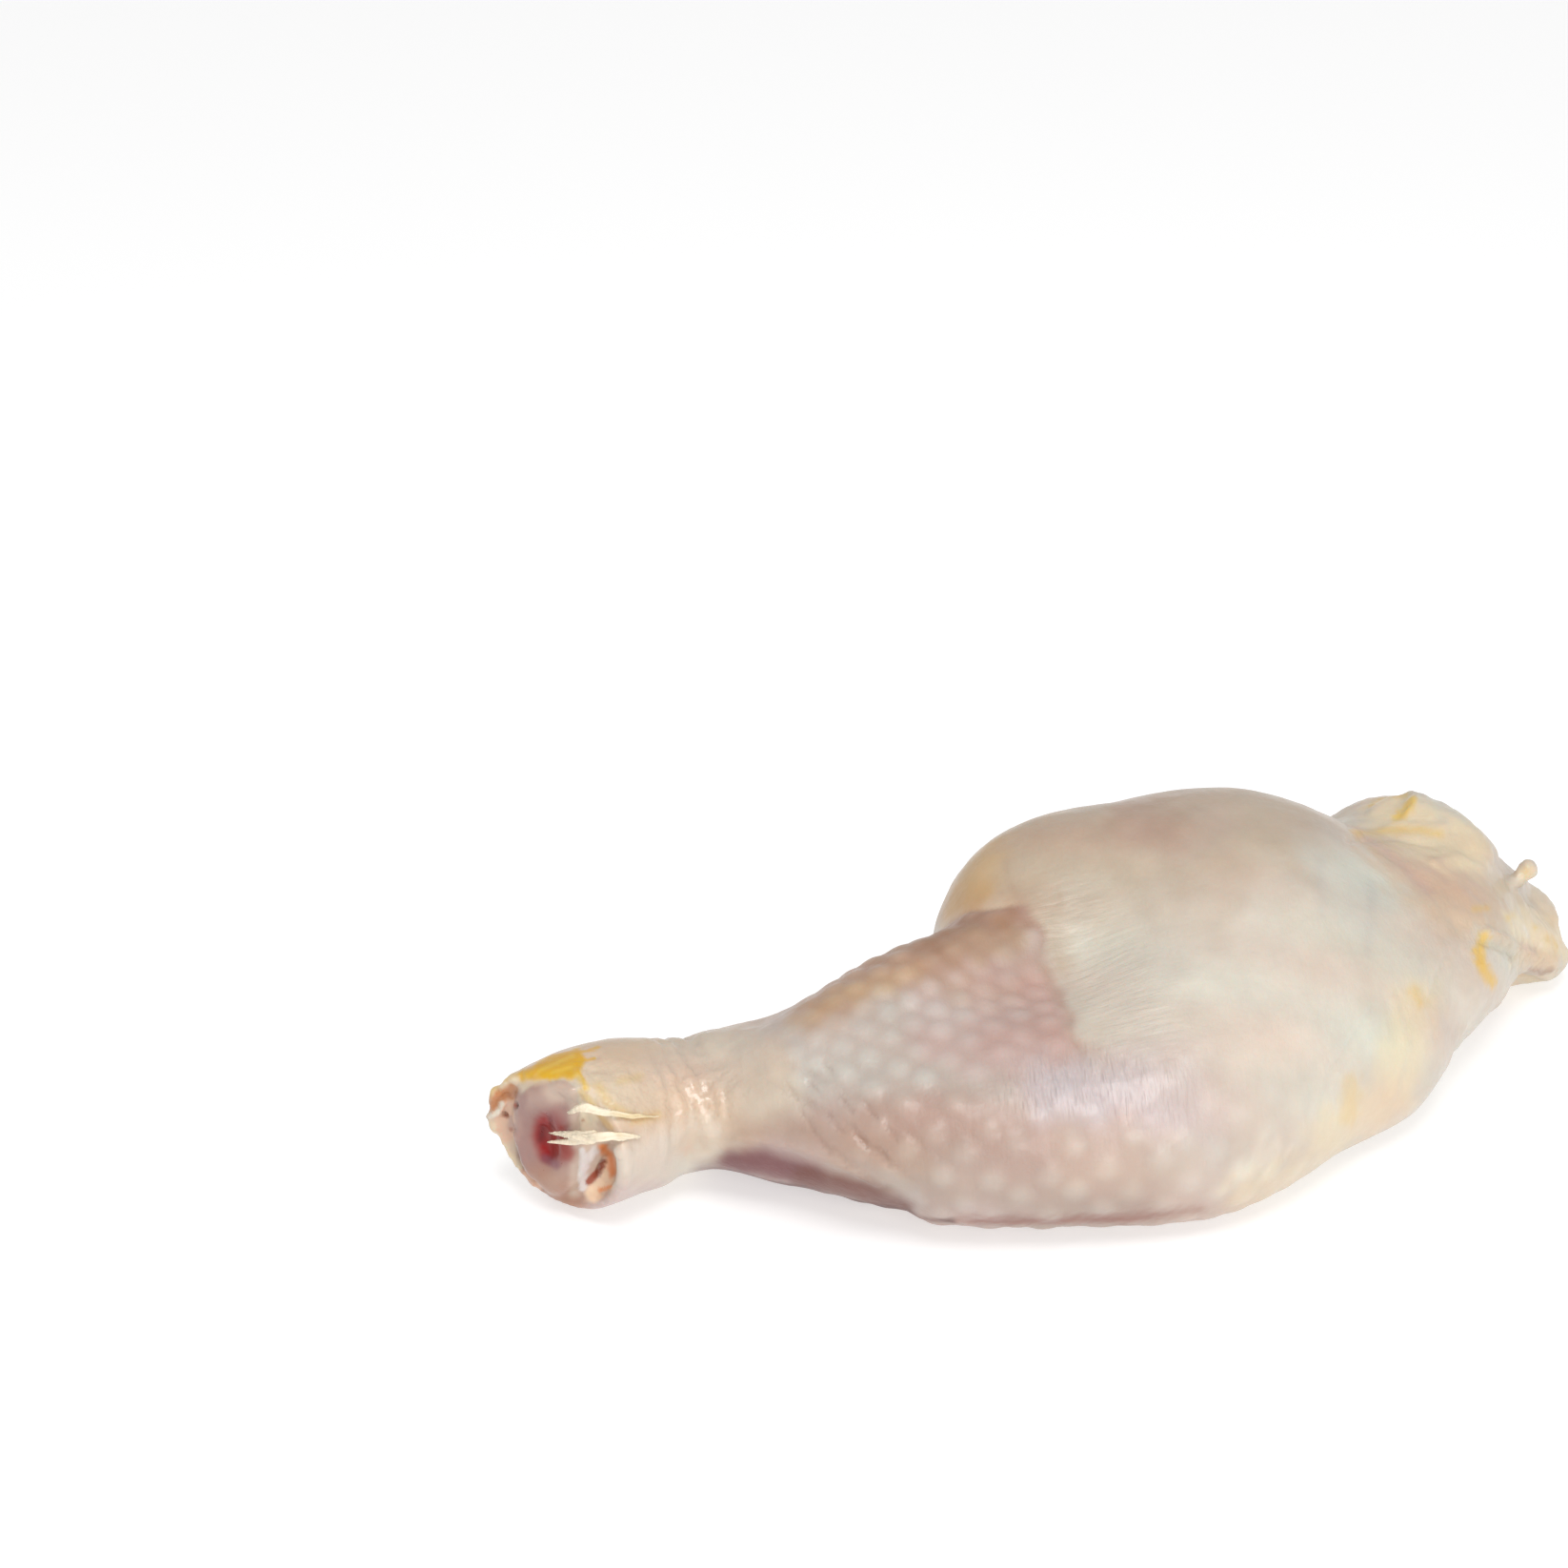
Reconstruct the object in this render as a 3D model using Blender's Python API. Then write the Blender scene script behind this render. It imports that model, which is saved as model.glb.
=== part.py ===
"""A raw whole chicken leg, drumstick and thigh in one piece, lying on its inner side.

The leg lies along X. The cut end of the hock is at -X and the loose skin of the hip end is at +X. The knee
is on the +Y side, and the calf and the thigh bulge towards -Y. Z is up, and the leg rests on Z = 0.
Lengths are in millimetres until the meshes are made, and are measured from the middle of the hock.
"""

import math

import bmesh
import bpy
import numpy as np
from mathutils import Vector

MM = 0.001

# Each mass of meat or skin is an ellipsoid: centre, half sizes, then yaw and pitch in degrees.
DRUMSTICK = {
    "hock": ((0, -3, 16.2), (23.3, 13.5, 12.6), 17, 6),
    "shank": ((33, 4, 12.2), (32.7, 10.0, 10.4), 2, 4),
    "shin": ((68, -6, 20.8), (43.3, 12.5, 18.2), 9, 9),
    "calf": ((75, -29, 15.5), (42.8, 23.0, 17.5), -19, 0),
}
THIGH = {
    "knee": ((101, 8, 25.4), (23.7, 21.4, 23.2), 0, 0),
    "thigh": ((130, -1, 21.7), (33.8, 35.1, 29.0), -6, 0),
    "flank": ((107, -32, 16.8), (34.6, 24.7, 22.6), 22, 4),
    "hip": ((140, -14, 13.9), (21.7, 29.3, 18.9), -1, 0),
}
FLAP = {
    "fold": ((176, 13, 19.2), (17.0, 17.2, 17.3), -29, 0),
    "apron": ((178, 5, 9.6), (19, 16.6, 9), 0, 0),
    "skirt": ((154, -8, 18.4), (33.5, 25.6, 19.2), 24, 0),
    "tip": ((195, 5, 9.6), (7, 8, 7), 0, 0),
    "curl": ((203, 5, 6.8), (5.0, 8, 4.6), 0, 0),
}
# Masses of one group melt into each other over the distance given, and the groups meet in tighter creases.
GROUPS = ((DRUMSTICK, 5.0), (THIGH, 6.0), (FLAP, 5.0))
CREASE_BLEND = 2.5
FLOOR_BLEND = 4.0
FLAT_BELOW = 0.6

# The skin is drawn in rings round a line inside the leg, from the hock to the hip.
SPINE = (
    (-2, -3, 15), (20, 2, 14), (50, -5, 16), (85, -18, 20),
    (125, -12, 20), (160, -2, 15), (187, 6, 9), (208.2, 5, 6.9),
)
RINGS = 70
SIDES = 56
# The skin is looked for along lines from the spine, in steps that are then halved.
SEARCH_REACH = 80
SEARCH_STEPS = 160
SEARCH_HALVINGS = 14

# The hock is cut across at a slant: turned towards -Y and tipped, so that the top stands out furthest.
CUT_YAW = 31
CUT_PITCH = 6
SLANT_LENGTH = 50
SKIN_EDGE = 1.6
FACE_SINK = 1.2
# The torn pocket beside the cartilage: its place in degrees round the cut from +Y through the top.
POCKET_ANGLE = 198
POCKET_SPREAD = 38
POCKET_DEPTH = 3.6

# The shin bone: its cartilage head fills the cut, and its shaft runs up through the drumstick.
HEAD_CENTRE = (-3.3, -1.8, 15.3)
HEAD_HALVES = (7.3, 11.4)
HEAD_LENGTH = 9.0
HEAD_BULGE = 2.2
HEAD_EGG = 0.1
MARROW_HOLLOW = 3.2
MARROW_WIDTH = 0.36
SHAFT_RADIUS = 4.2
SHAFT_START = 1.9
KNEE_END = (90, -3, 20)
BONE_SIDES = 32
# Where the bone's rings lie, as shares: of the head's radius on its face, of its length, then of the shaft's.
FACE_SHARES = (0.12, 0.3, 0.5, 0.7, 0.86, 0.96)
HEAD_SHARES = (0.2, 0.4, 0.6, 0.8, 1.0, 1.3, 1.6, SHAFT_START)
SHAFT_SHARES = (0.4, 0.6, 0.8, 0.9, 1.0)
CLEARANCE = 0.3
BED_REACH = 12

# Torn tendons lie on the skin and stick out past the cut: the points that each passes, and its widths.
TENDON_LIFT = 0.85
TENDON_THICKNESS = 0.9
TENDON_UPPER = ((-2, -9, 24), (0, -11, 25), (4, -13, 24.5), (8, -13, 23), (13, -12, 21.5))
TENDON_LOWER = ((-4.2, -5.6, 19), (-1.1, -10.2, 20.2), (1, -12.6, 20.6), (5, -14.6, 20.8), (9, -15, 20))
TENDON_PRONG = ((-4.3, -4.9, 16.8), (-1.6, -9.4, 18.6), (1, -12.6, 20.2))
UPPER_WIDTHS = (0.5, 2.2, 2.2, 1.6, 0.5)
LOWER_WIDTHS = (0.4, 2.0, 2.8, 2.2, 0.5)
PRONG_WIDTHS = (0.4, 1.6, 1.6)
STRAND_SIDES = 10
STRAND_TAPER = 0.6

# A round nub of skin on a thin neck, at the edge of the loose skin.
NUB_BASE = (192, -2.5, 24.5)
NUB_WAY = (0.83, -0.1, 0.54)
NUB_NECK = 1.2
NUB_LENGTH = 3.6
NUB_RADIUS = 2.1
NUB_ROOT = 3.0
NUB_SIDES = 12

# Base colour and roughness of each finish.
FINISHES = {
    "skin": ((0.78, 0.66, 0.58), 0.35),
    "cartilage": ((0.74, 0.60, 0.60), 0.25),
    "tendon": ((0.88, 0.82, 0.68), 0.3),
}


def turned(points, yaw, pitch):
    """The points in the axes of a mass that is turned by yaw about Z, then tipped up by pitch."""
    return np.stack([points @ axis for axis in axes_of(yaw, pitch)], axis=-1)


def axes_of(yaw, pitch):
    """The directions along, across and up, turned by yaw about Z and tipped up by pitch, in degrees."""
    y, p = math.radians(yaw), math.radians(pitch)
    along = np.array([math.cos(y) * math.cos(p), math.sin(y) * math.cos(p), math.sin(p)])
    across = np.array([-math.sin(y), math.cos(y), 0.0])
    return along, across, np.cross(along, across)


def ellipsoid(points, centre, halves, yaw, pitch):
    """Roughly how far each point lies outside an ellipsoid."""
    q = turned(points - np.array(centre, float), yaw, pitch)
    r = np.array(halves, float)
    near = np.linalg.norm(q / r, axis=-1)
    slope = np.linalg.norm(q / (r * r), axis=-1)
    return near * (near - 1) / np.maximum(slope, 1e-9)


def smooth_union(depths, blend):
    least = np.min(depths, axis=0)
    return least - blend * np.log(np.sum(np.exp(-(depths - least) / blend), axis=0))


def smooth_cut(depth, other, blend):
    close = np.maximum(blend - np.abs(depth - other), 0) / blend
    return np.maximum(depth, other) + close * close * blend / 4


def flesh(points):
    """How far each point lies outside the flesh, and negative inside."""
    groups = [
        smooth_union(np.stack([ellipsoid(points, *mass) for mass in group.values()]), blend)
        for group, blend in GROUPS
    ]
    body = smooth_union(np.stack(groups), CREASE_BLEND)
    return smooth_cut(body, -points[..., 2], FLOOR_BLEND)


def curve_through(points, count):
    """Points evenly numbered along a smooth curve through the given ones."""
    p = np.array(points, float)
    p = np.vstack([2 * p[0] - p[1], p, 2 * p[-1] - p[-2]])
    t = np.linspace(0, len(points) - 1 - 1e-9, count)
    i = t.astype(int)
    f = (t - i)[:, None]
    a, b, c, d = p[i], p[i + 1], p[i + 2], p[i + 3]
    return 0.5 * (2 * b + (c - a) * f + (2 * a - 5 * b + 4 * c - d) * f**2 + (3 * b - a - 3 * c + d) * f**3)


def to_skin(origins, ways):
    """Where lines from the origins leave the flesh for the last time: stepped out, then halved."""
    steps = np.linspace(0, SEARCH_REACH, SEARCH_STEPS + 1)
    inside = flesh(origins[:, None, :] + ways[:, None, :] * steps[None, :, None]) < 0
    last = inside.shape[1] - 1 - np.argmax(inside[:, ::-1], axis=1)
    low = np.where(inside.any(axis=1), steps[last], 0.0)
    high = low + steps[1]
    for _ in range(SEARCH_HALVINGS):
        middle = (low + high) / 2
        within = flesh(origins + ways * middle[:, None]) < 0
        low, high = np.where(within, middle, low), np.where(within, high, middle)
    return origins + ways * low[:, None]


def spread_evenly(ring):
    """The ring's points, spaced half by angle and half by length."""
    gaps = np.linalg.norm(np.roll(ring, -1, axis=0) - ring, axis=1)
    length = np.concatenate([[0], np.cumsum(gaps)]) / gaps.sum()
    turn = np.linspace(0, 1, len(length))
    at = np.interp(np.linspace(0, 1, SIDES, endpoint=False), (length + turn) / 2, turn) * len(ring)
    low = at.astype(int) % len(ring)
    part = (at - at.astype(int))[:, None]
    return ring[low] * (1 - part) + ring[(low + 1) % len(ring)] * part


def skin_rings():
    """The leg's outside, ring by ring from the hock's cut to the tip of the loose skin."""
    angles = np.linspace(-math.pi / 2, 1.5 * math.pi, 4 * SIDES, endpoint=False)
    rings = []
    for centre in curve_through(SPINE, RINGS):
        slant = 1 - np.clip((centre[0] - SPINE[0][0]) / SLANT_LENGTH, 0, 1)
        across, up = axes_of(CUT_YAW * slant, CUT_PITCH * slant)[1:]
        ways = np.cos(angles)[:, None] * across + np.sin(angles)[:, None] * up
        rings.append(spread_evenly(to_skin(np.tile(centre, (len(ways), 1)), ways)))
    return rings


def face_rings(rim):
    """The skin's cut edge and the tissue inside it, from the rim towards the middle of the hock's face."""
    along, across, up = axes_of(CUT_YAW, CUT_PITCH)
    middle = rim.mean(axis=0)
    out = rim - middle
    angles = np.degrees(np.arctan2(out @ up, out @ across))
    from_pocket = (angles - POCKET_ANGLE + 180) % 360 - 180
    sink = FACE_SINK + POCKET_DEPTH * np.exp(-((from_pocket / POCKET_SPREAD) ** 2))
    inward = -out / np.linalg.norm(out, axis=1)[:, None]
    edge = rim + inward * SKIN_EDGE
    floor = edge + inward * SKIN_EDGE / 2 + along * sink[:, None]
    return [
        rim + inward * SKIN_EDGE / 2 - along * SKIN_EDGE / 8,
        edge + along * SKIN_EDGE / 4,
        floor,
        (floor + middle + along * sink[:, None]) / 2,
    ]


def solid_from_rings(name, rings, finish):
    """A closed body through rings of equally many points, shut by a fan at each end."""
    bm = bmesh.new()
    loops = [[bm.verts.new(p * MM) for p in ring] for ring in rings]
    for a, b in zip(loops, loops[1:]):
        for i in range(len(a)):
            j = (i + 1) % len(a)
            bm.faces.new((a[i], a[j], b[j], b[i]))
    for loop in (loops[0], loops[-1]):
        centre = bm.verts.new(sum((v.co for v in loop), Vector()) / len(loop))
        for i in range(len(loop)):
            bm.faces.new((loop[i], loop[(i + 1) % len(loop)], centre))
    bmesh.ops.recalc_face_normals(bm, faces=bm.faces)
    mesh = bpy.data.meshes.new(name)
    bm.to_mesh(mesh)
    bm.free()
    mesh.shade_smooth()
    obj = bpy.data.objects.new(name, mesh)
    bpy.context.scene.collection.objects.link(obj)
    obj.data.materials.append(finish_material(finish))
    return obj


def finish_material(finish):
    if finish in bpy.data.materials:
        return bpy.data.materials[finish]
    colour, roughness = FINISHES[finish]
    material = bpy.data.materials.new(finish)
    material.use_nodes = True
    shader = material.node_tree.nodes["Principled BSDF"]
    shader.inputs["Base Color"].default_value = (*colour, 1)
    shader.inputs["Roughness"].default_value = roughness
    shader.inputs["Metallic"].default_value = 0
    return material


def boolean(obj, other, operation):
    """Cuts the other shape from the object, or joins it on, and keeps the other out of the model."""
    modifier = obj.modifiers.new(other.name, "BOOLEAN")
    modifier.operation = operation
    modifier.object = other
    other.hide_render = True
    other.display_type = "WIRE"


def bone_rings(clearance, reach):
    """The shin bone's rings, from the middle of its head to the knee, with room round it for its bed.

    reach carries the head's front out past the cut.
    """
    start, end = np.array(HEAD_CENTRE, float), np.array(KNEE_END, float)
    length = np.linalg.norm(end - start)
    shaft = (end - start) / length
    cut, across, up = axes_of(CUT_YAW, CUT_PITCH)
    angles = np.linspace(0, 2 * math.pi, BONE_SIDES, endpoint=False)[:, None]

    def ring(distance, halves, front=0.0):
        """A ring at a distance up the bone, facing the cut at its head and square to the shaft further up."""
        turn = min(max(distance / (2 * HEAD_LENGTH), 0), 1)
        side = across * (1 - turn) + np.array([-shaft[1], shaft[0], 0]) * turn
        side /= np.linalg.norm(side)
        rise = up * (1 - turn) + np.cross(shaft, side) * turn
        egg = 1 + HEAD_EGG * np.sin(angles) * (1 - turn)
        middle = start + shaft * max(distance, 0) - cut * front
        return middle + np.cos(angles) * side * (halves[0] * egg) + np.sin(angles) * rise * halves[1]

    wide = np.array(HEAD_HALVES) + clearance
    thin = np.array([SHAFT_RADIUS, SHAFT_RADIUS]) + clearance
    rings = []
    if reach:
        rings.append(ring(0, wide, reach))
    else:
        for share in FACE_SHARES:
            hollow = MARROW_HOLLOW * math.exp(-((share / MARROW_WIDTH) ** 2))
            rings.append(ring(0, wide * share, HEAD_BULGE * math.sqrt(1 - share**2) - hollow))
    rings.append(ring(0, wide))
    for share in HEAD_SHARES:
        pull = 0.5 - 0.5 * math.cos(math.pi * share / SHAFT_START)
        rings.append(ring(share * HEAD_LENGTH, wide * (1 - pull) + thin * pull))
    for share in SHAFT_SHARES:
        rings.append(ring(share * length, thin))
    rings.append(ring(length + thin[0] * 0.6, thin * 0.6))
    return rings


def skin_normal(points):
    step = 0.05
    slope = np.stack([flesh(points + step * axis) - flesh(points - step * axis) for axis in np.eye(3)], -1)
    return slope / np.linalg.norm(slope, axis=-1, keepdims=True)


def laid_on_skin(points):
    """The points behind the hock's cut, moved to lie just over the skin; those in front of it hang free."""
    along = axes_of(CUT_YAW, CUT_PITCH)[0]
    behind = np.clip(((points - np.array(SPINE[0])) @ along + 2) / 2, 0, 1)[:, None]
    p = points
    for _ in range(4):
        p = p - behind * skin_normal(p) * (flesh(p) - TENDON_LIFT)[:, None]
    return p


def strand(name, points, widths):
    """A flat strand that tapers to both ends."""
    path = laid_on_skin(curve_through(points, 4 * len(points)))
    width = np.interp(np.linspace(0, 1, len(path)), np.linspace(0, 1, len(widths)), widths) / 2
    angles = np.linspace(0, 2 * math.pi, STRAND_SIDES, endpoint=False)[:, None]
    rings = []
    for i, (point, normal) in enumerate(zip(path, skin_normal(path))):
        ahead = path[min(i + 1, len(path) - 1)] - path[max(i - 1, 0)]
        ahead /= np.linalg.norm(ahead)
        side = np.cross(normal, ahead)
        side /= np.linalg.norm(side)
        rise = np.cross(ahead, side)
        thick = TENDON_THICKNESS / 2 * min(1, width[i] / STRAND_TAPER)
        rings.append(point + np.cos(angles) * side * width[i] + np.sin(angles) * rise * thick)
    return solid_from_rings(name, rings, "tendon")


def tendons():
    """The upper strand, and the lower one, which is forked."""
    strand("tendon_upper", TENDON_UPPER, UPPER_WIDTHS)
    lower = strand("tendon_lower", TENDON_LOWER, LOWER_WIDTHS)
    boolean(lower, strand("prong_shape", TENDON_PRONG, PRONG_WIDTHS), "UNION")


def nub():
    """A short neck with a ball on its end."""
    way = np.array(NUB_WAY, float)
    way /= np.linalg.norm(way)
    side = np.cross(way, (0, 0, 1))
    side /= np.linalg.norm(side)
    rise = np.cross(side, way)
    angles = np.linspace(0, 2 * math.pi, NUB_SIDES, endpoint=False)[:, None]
    profile = [(-NUB_ROOT, NUB_NECK * 1.5), (0.0, NUB_NECK), (NUB_LENGTH - NUB_RADIUS * 0.8, NUB_NECK)]
    for turn in (140, 115, 90, 65, 40, 18):
        t = math.radians(turn)
        profile.append((NUB_LENGTH + NUB_RADIUS * math.cos(t), NUB_RADIUS * math.sin(t)))
    rings = [
        np.array(NUB_BASE) + way * out + (np.cos(angles) * side + np.sin(angles) * rise) * radius
        for out, radius in profile
    ]
    return solid_from_rings("nub_shape", rings, "skin")


def leg():
    """The meat in its skin, cut across at the hock, with a bed for the bone and the nub joined on."""
    outside = skin_rings()
    for ring in outside:
        ring[:, 2] = np.where(ring[:, 2] < FLAT_BELOW, 0, ring[:, 2])
    obj = solid_from_rings("leg", face_rings(outside[0])[::-1] + outside, "skin")
    boolean(obj, solid_from_rings("bone_bed", bone_rings(CLEARANCE, BED_REACH), "cartilage"), "DIFFERENCE")
    boolean(obj, nub(), "UNION")
    return obj


def stand_on_origin(obj):
    """Parents everything to an empty that puts the middle of the leg's base at the world's origin."""
    objects = list(bpy.data.objects)
    low = Vector([min(v.co[i] for v in obj.data.vertices) for i in range(3)])
    high = Vector([max(v.co[i] for v in obj.data.vertices) for i in range(3)])
    base = bpy.data.objects.new("base", None)
    base.location = (-(low.x + high.x) / 2, -(low.y + high.y) / 2, 0)
    bpy.context.scene.collection.objects.link(base)
    for child in objects:
        child.parent = base


def build():
    for old in list(bpy.data.objects):
        bpy.data.objects.remove(old)
    flesh_and_skin = leg()
    solid_from_rings("bone", bone_rings(0, 0), "cartilage")
    tendons()
    stand_on_origin(flesh_and_skin)


build()
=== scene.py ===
# %% [markdown]
# # A raw chicken leg
#
# This lesson dresses the plain solids of a raw chicken leg: the drumstick and thigh in one piece, with
# the skin on, cut across at the hock. The solids already have the true form and size. What they lack is
# everything that makes raw poultry look like raw poultry: the rows of raised follicles, the wrinkles, the
# thin skin with pink meat and yellow fat showing through it, and the wet gloss. The first cell loads the
# solids, which are never changed.

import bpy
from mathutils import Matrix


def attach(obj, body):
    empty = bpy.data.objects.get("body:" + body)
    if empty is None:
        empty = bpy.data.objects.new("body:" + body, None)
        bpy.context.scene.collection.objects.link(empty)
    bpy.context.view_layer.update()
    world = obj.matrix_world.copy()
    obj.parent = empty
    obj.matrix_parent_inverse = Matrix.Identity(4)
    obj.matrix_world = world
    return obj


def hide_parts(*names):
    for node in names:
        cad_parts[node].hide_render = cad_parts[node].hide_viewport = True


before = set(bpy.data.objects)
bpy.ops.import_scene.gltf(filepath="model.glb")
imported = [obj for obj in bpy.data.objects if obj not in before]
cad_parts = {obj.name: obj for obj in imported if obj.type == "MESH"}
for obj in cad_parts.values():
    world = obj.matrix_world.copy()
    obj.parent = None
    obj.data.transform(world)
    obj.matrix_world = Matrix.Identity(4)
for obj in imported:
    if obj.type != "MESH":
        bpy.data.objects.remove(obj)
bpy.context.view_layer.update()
print("the solids:", sorted(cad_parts))

# %% [markdown]
# ## Places on the leg
#
# The scene's unit is the metre, but meat is measured in millimetres, so places are written in millimetres
# from one spot: the point on the floor below the middle of the cut hock. X runs up the leg towards the
# hip, Y towards the knee's side, and Z is up. Two short helpers turn such places into the scene's frame
# and back.

# %% Millimetres from the hock
import math

import bmesh
import bpy
import numpy as np
from mathutils import Matrix, Vector
from mathutils.bvhtree import BVHTree

MM = 0.001
HOCK = Vector((-0.09946, 0.0121, 0.0))


def at(x, y, z):
    """A place in millimetres from the hock, in the scene's frame."""
    return HOCK + Vector((x, y, z)) * MM


def points_of(obj):
    """The places of all the object's points, in millimetres from the hock."""
    flat = np.empty(len(obj.data.vertices) * 3, np.float32)
    obj.data.vertices.foreach_get("co", flat)
    return (flat.reshape(-1, 3).astype(float) - np.array(HOCK)) / MM


def set_points(obj, points):
    """Puts the object's points at places in millimetres from the hock, none of them below the floor."""
    points = points.copy()
    points[:, 2] = np.maximum(points[:, 2], 0)
    obj.data.vertices.foreach_set("co", (points * MM + np.array(HOCK)).astype(np.float32).ravel())
    obj.data.update()


def new_object(name, data):
    """An object in the scene that shows the data."""
    obj = bpy.data.objects.new(name, data)
    bpy.context.scene.collection.objects.link(obj)
    return obj


def set_sockets(node, values):
    """Sets a node's sockets by their names."""
    for socket, value in values.items():
        node.inputs[socket].default_value = value


print("the hock stands at", tuple(HOCK))

# %% [markdown]
# ## The camera
#
# The photographer stood about 0.8 m away with a long lens and looked down at 25 degrees, and the leg is
# turned a little to the picture. Two facts place the camera: how it looks at the floor, and which spot of
# the picture the hock stands on. The picture is square, 1646 pixels a side, and spots in it are given in
# those pixels.

# %% The camera of the photograph
PICTURE_SIDE = 1646
LENS = 85
SENSOR = 36
LOOK_DOWN = math.radians(25)
LEG_TURN = math.radians(24.5)
STAND_BACK = 0.796
HOCK_SPOT = (590, 1268)

turn = Matrix.Rotation(-LEG_TURN, 3, "Z")
look_ahead = turn @ Vector((0, math.cos(LOOK_DOWN), -math.sin(LOOK_DOWN)))
look_right = turn @ Vector((1, 0, 0))
look_up = turn @ Vector((0, math.sin(LOOK_DOWN), math.cos(LOOK_DOWN)))


def sight_line(across, down):
    """The direction in which the camera sees a spot of the picture."""
    off = look_right * (across - PICTURE_SIDE / 2) + look_up * (PICTURE_SIDE / 2 - down)
    return look_ahead + off * SENSOR / (PICTURE_SIDE * LENS)


to_hock = sight_line(*HOCK_SPOT)
eye = HOCK + to_hock * (STAND_BACK * math.sin(LOOK_DOWN) / to_hock.z)

camera = new_object("camera", bpy.data.cameras.new("camera"))
camera.data.lens = LENS
camera.data.sensor_width = SENSOR
camera.data.clip_start = 0.01
camera.location = eye
camera.rotation_mode = "QUATERNION"
camera.rotation_quaternion = look_ahead.to_track_quat("-Z", "Y")
bpy.context.scene.camera = camera
print("the camera stands at", tuple(round(v, 3) for v in eye))

# %% [markdown]
# Because the camera is known, a spot of the picture can be turned into a place on the leg: the line of
# sight is followed until it meets the solids. The brush strokes further down are placed this way where
# the picture shows them, and by millimetres on the sides that it hides.

# %% From a spot of the picture to a place on the leg
def tree_of_meshes(meshes):
    """A search tree over the meshes, which answers where a line meets them."""
    places, faces = [], []
    for mesh in meshes:
        first = len(places)
        places += [v.co.copy() for v in mesh.vertices]
        faces += [[first + i for i in face.vertices] for face in mesh.polygons]
    return BVHTree.FromPolygons(places, faces)


def tree_of(*nodes):
    """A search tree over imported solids."""
    return tree_of_meshes([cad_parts[node].data for node in nodes])


target = tree_of("leg", "bone")
LEG_MIDDLE_SPOT = Vector((1150, 1100))
CREASE_SPOT = (1080, 952)


def seen(across, down):
    """The place on the leg behind a spot of the picture, or behind the nearest spot inwards."""
    spot = Vector((across, down))
    hit = None
    while hit is None:
        hit = target.ray_cast(eye, sight_line(*spot).normalized())[0]
        spot += (LEG_MIDDLE_SPOT - spot).normalized() * 2
    return np.array((hit - HOCK) / MM)


def spots_of(points):
    """The spots of the picture at which the points appear."""
    away = points * MM + np.array(HOCK - eye)
    scale = PICTURE_SIDE * LENS / (SENSOR * (away @ np.array(look_ahead)))
    across = PICTURE_SIDE / 2 + away @ np.array(look_right) * scale
    return np.column_stack([across, PICTURE_SIDE / 2 - away @ np.array(look_up) * scale])


print("the top of the knee's crease is at", seen(*CREASE_SPOT).round(1))

# %% [markdown]
# ## Floor and light
#
# The leg lies on plain white, in soft light from nearly everywhere, so the world itself is a pale light,
# and the floor glows a little like a light table, which keeps its shadows faint. Two large round lamps
# give the form: one high up in front, which makes the broad sheen on the calf, and one low in front,
# which brightens the near side.

# %% World and lamps
WHITE = (1.0, 1.0, 1.0, 1)
WORLD_LIGHT = 0.62
SOFTBOXES = {
    # name: direction from the leg, distance and size in metres, power in watts
    "lamp_above": ((-0.20, -0.42, 0.88), 1.0, 0.42, 4.3),
    "lamp_front": ((-0.10, -0.92, 0.38), 1.2, 0.6, 5.5),
}


def softbox(name, towards, distance, size, power):
    """A round lamp that shines on the middle of the leg."""
    lamp = bpy.data.lights.new(name, "AREA")
    lamp.shape = "DISK"
    lamp.size = size
    lamp.energy = power
    obj = new_object(name, lamp)
    obj.location = Vector(towards).normalized() * distance
    obj.rotation_mode = "QUATERNION"
    obj.rotation_quaternion = (-Vector(towards)).to_track_quat("-Z", "Y")


for name, (towards, distance, size, power) in SOFTBOXES.items():
    softbox(name, towards, distance, size, power)

world = bpy.data.worlds.new("pale room")
world.use_nodes = True
set_sockets(world.node_tree.nodes["Background"], {"Color": WHITE, "Strength": WORLD_LIGHT})
bpy.context.scene.world = world
bpy.context.scene.view_settings.view_transform = "Standard"
print("lamps:", list(SOFTBOXES))

# %% Floor
FLOOR_GREY = (0.6, 0.6, 0.6, 1)
FLOOR_GLOW = 0.5
FLOOR_ROUGHNESS = 0.6
FLOOR_SIZE = 8.0
FLOOR_DEPTH = 0.0003

half = FLOOR_SIZE / 2
floor_mesh = bpy.data.meshes.new("floor")
corners = [(x * half, y * half, -FLOOR_DEPTH) for x, y in ((-1, -1), (1, -1), (1, 1), (-1, 1))]
floor_mesh.from_pydata(corners, [], [(0, 1, 2, 3)])
floor = new_object("floor", floor_mesh)
floor_paint = bpy.data.materials.new("white floor")
floor_paint.use_nodes = True
floor_look = {"Base Color": FLOOR_GREY, "Roughness": FLOOR_ROUGHNESS}
floor_look.update({"Emission Color": WHITE, "Emission Strength": FLOOR_GLOW})
set_sockets(floor_paint.node_tree.nodes["Principled BSDF"], floor_look)
floor_mesh.materials.append(floor_paint)
print("floor:", FLOOR_SIZE, "m across")

# %% [markdown]
# ## One fine surface
#
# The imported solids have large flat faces, too coarse to carry a follicle of 2 mm. They are smoothed by
# one subdivision and remeshed into even small squares, which any relief can push about. The leg and the
# bone get one surface together, so that skin and cartilage meet without a gap, as on the real cut. It is
# parted in two once its relief is done. Faces near the cut are divided once more, because that end has
# the smallest details. There the grooves between the solids are filled, and three spots are smoothed on:
# the two where the skin's rim meets the cartilage, and the fold where the loose skin of the hip starts.

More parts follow.
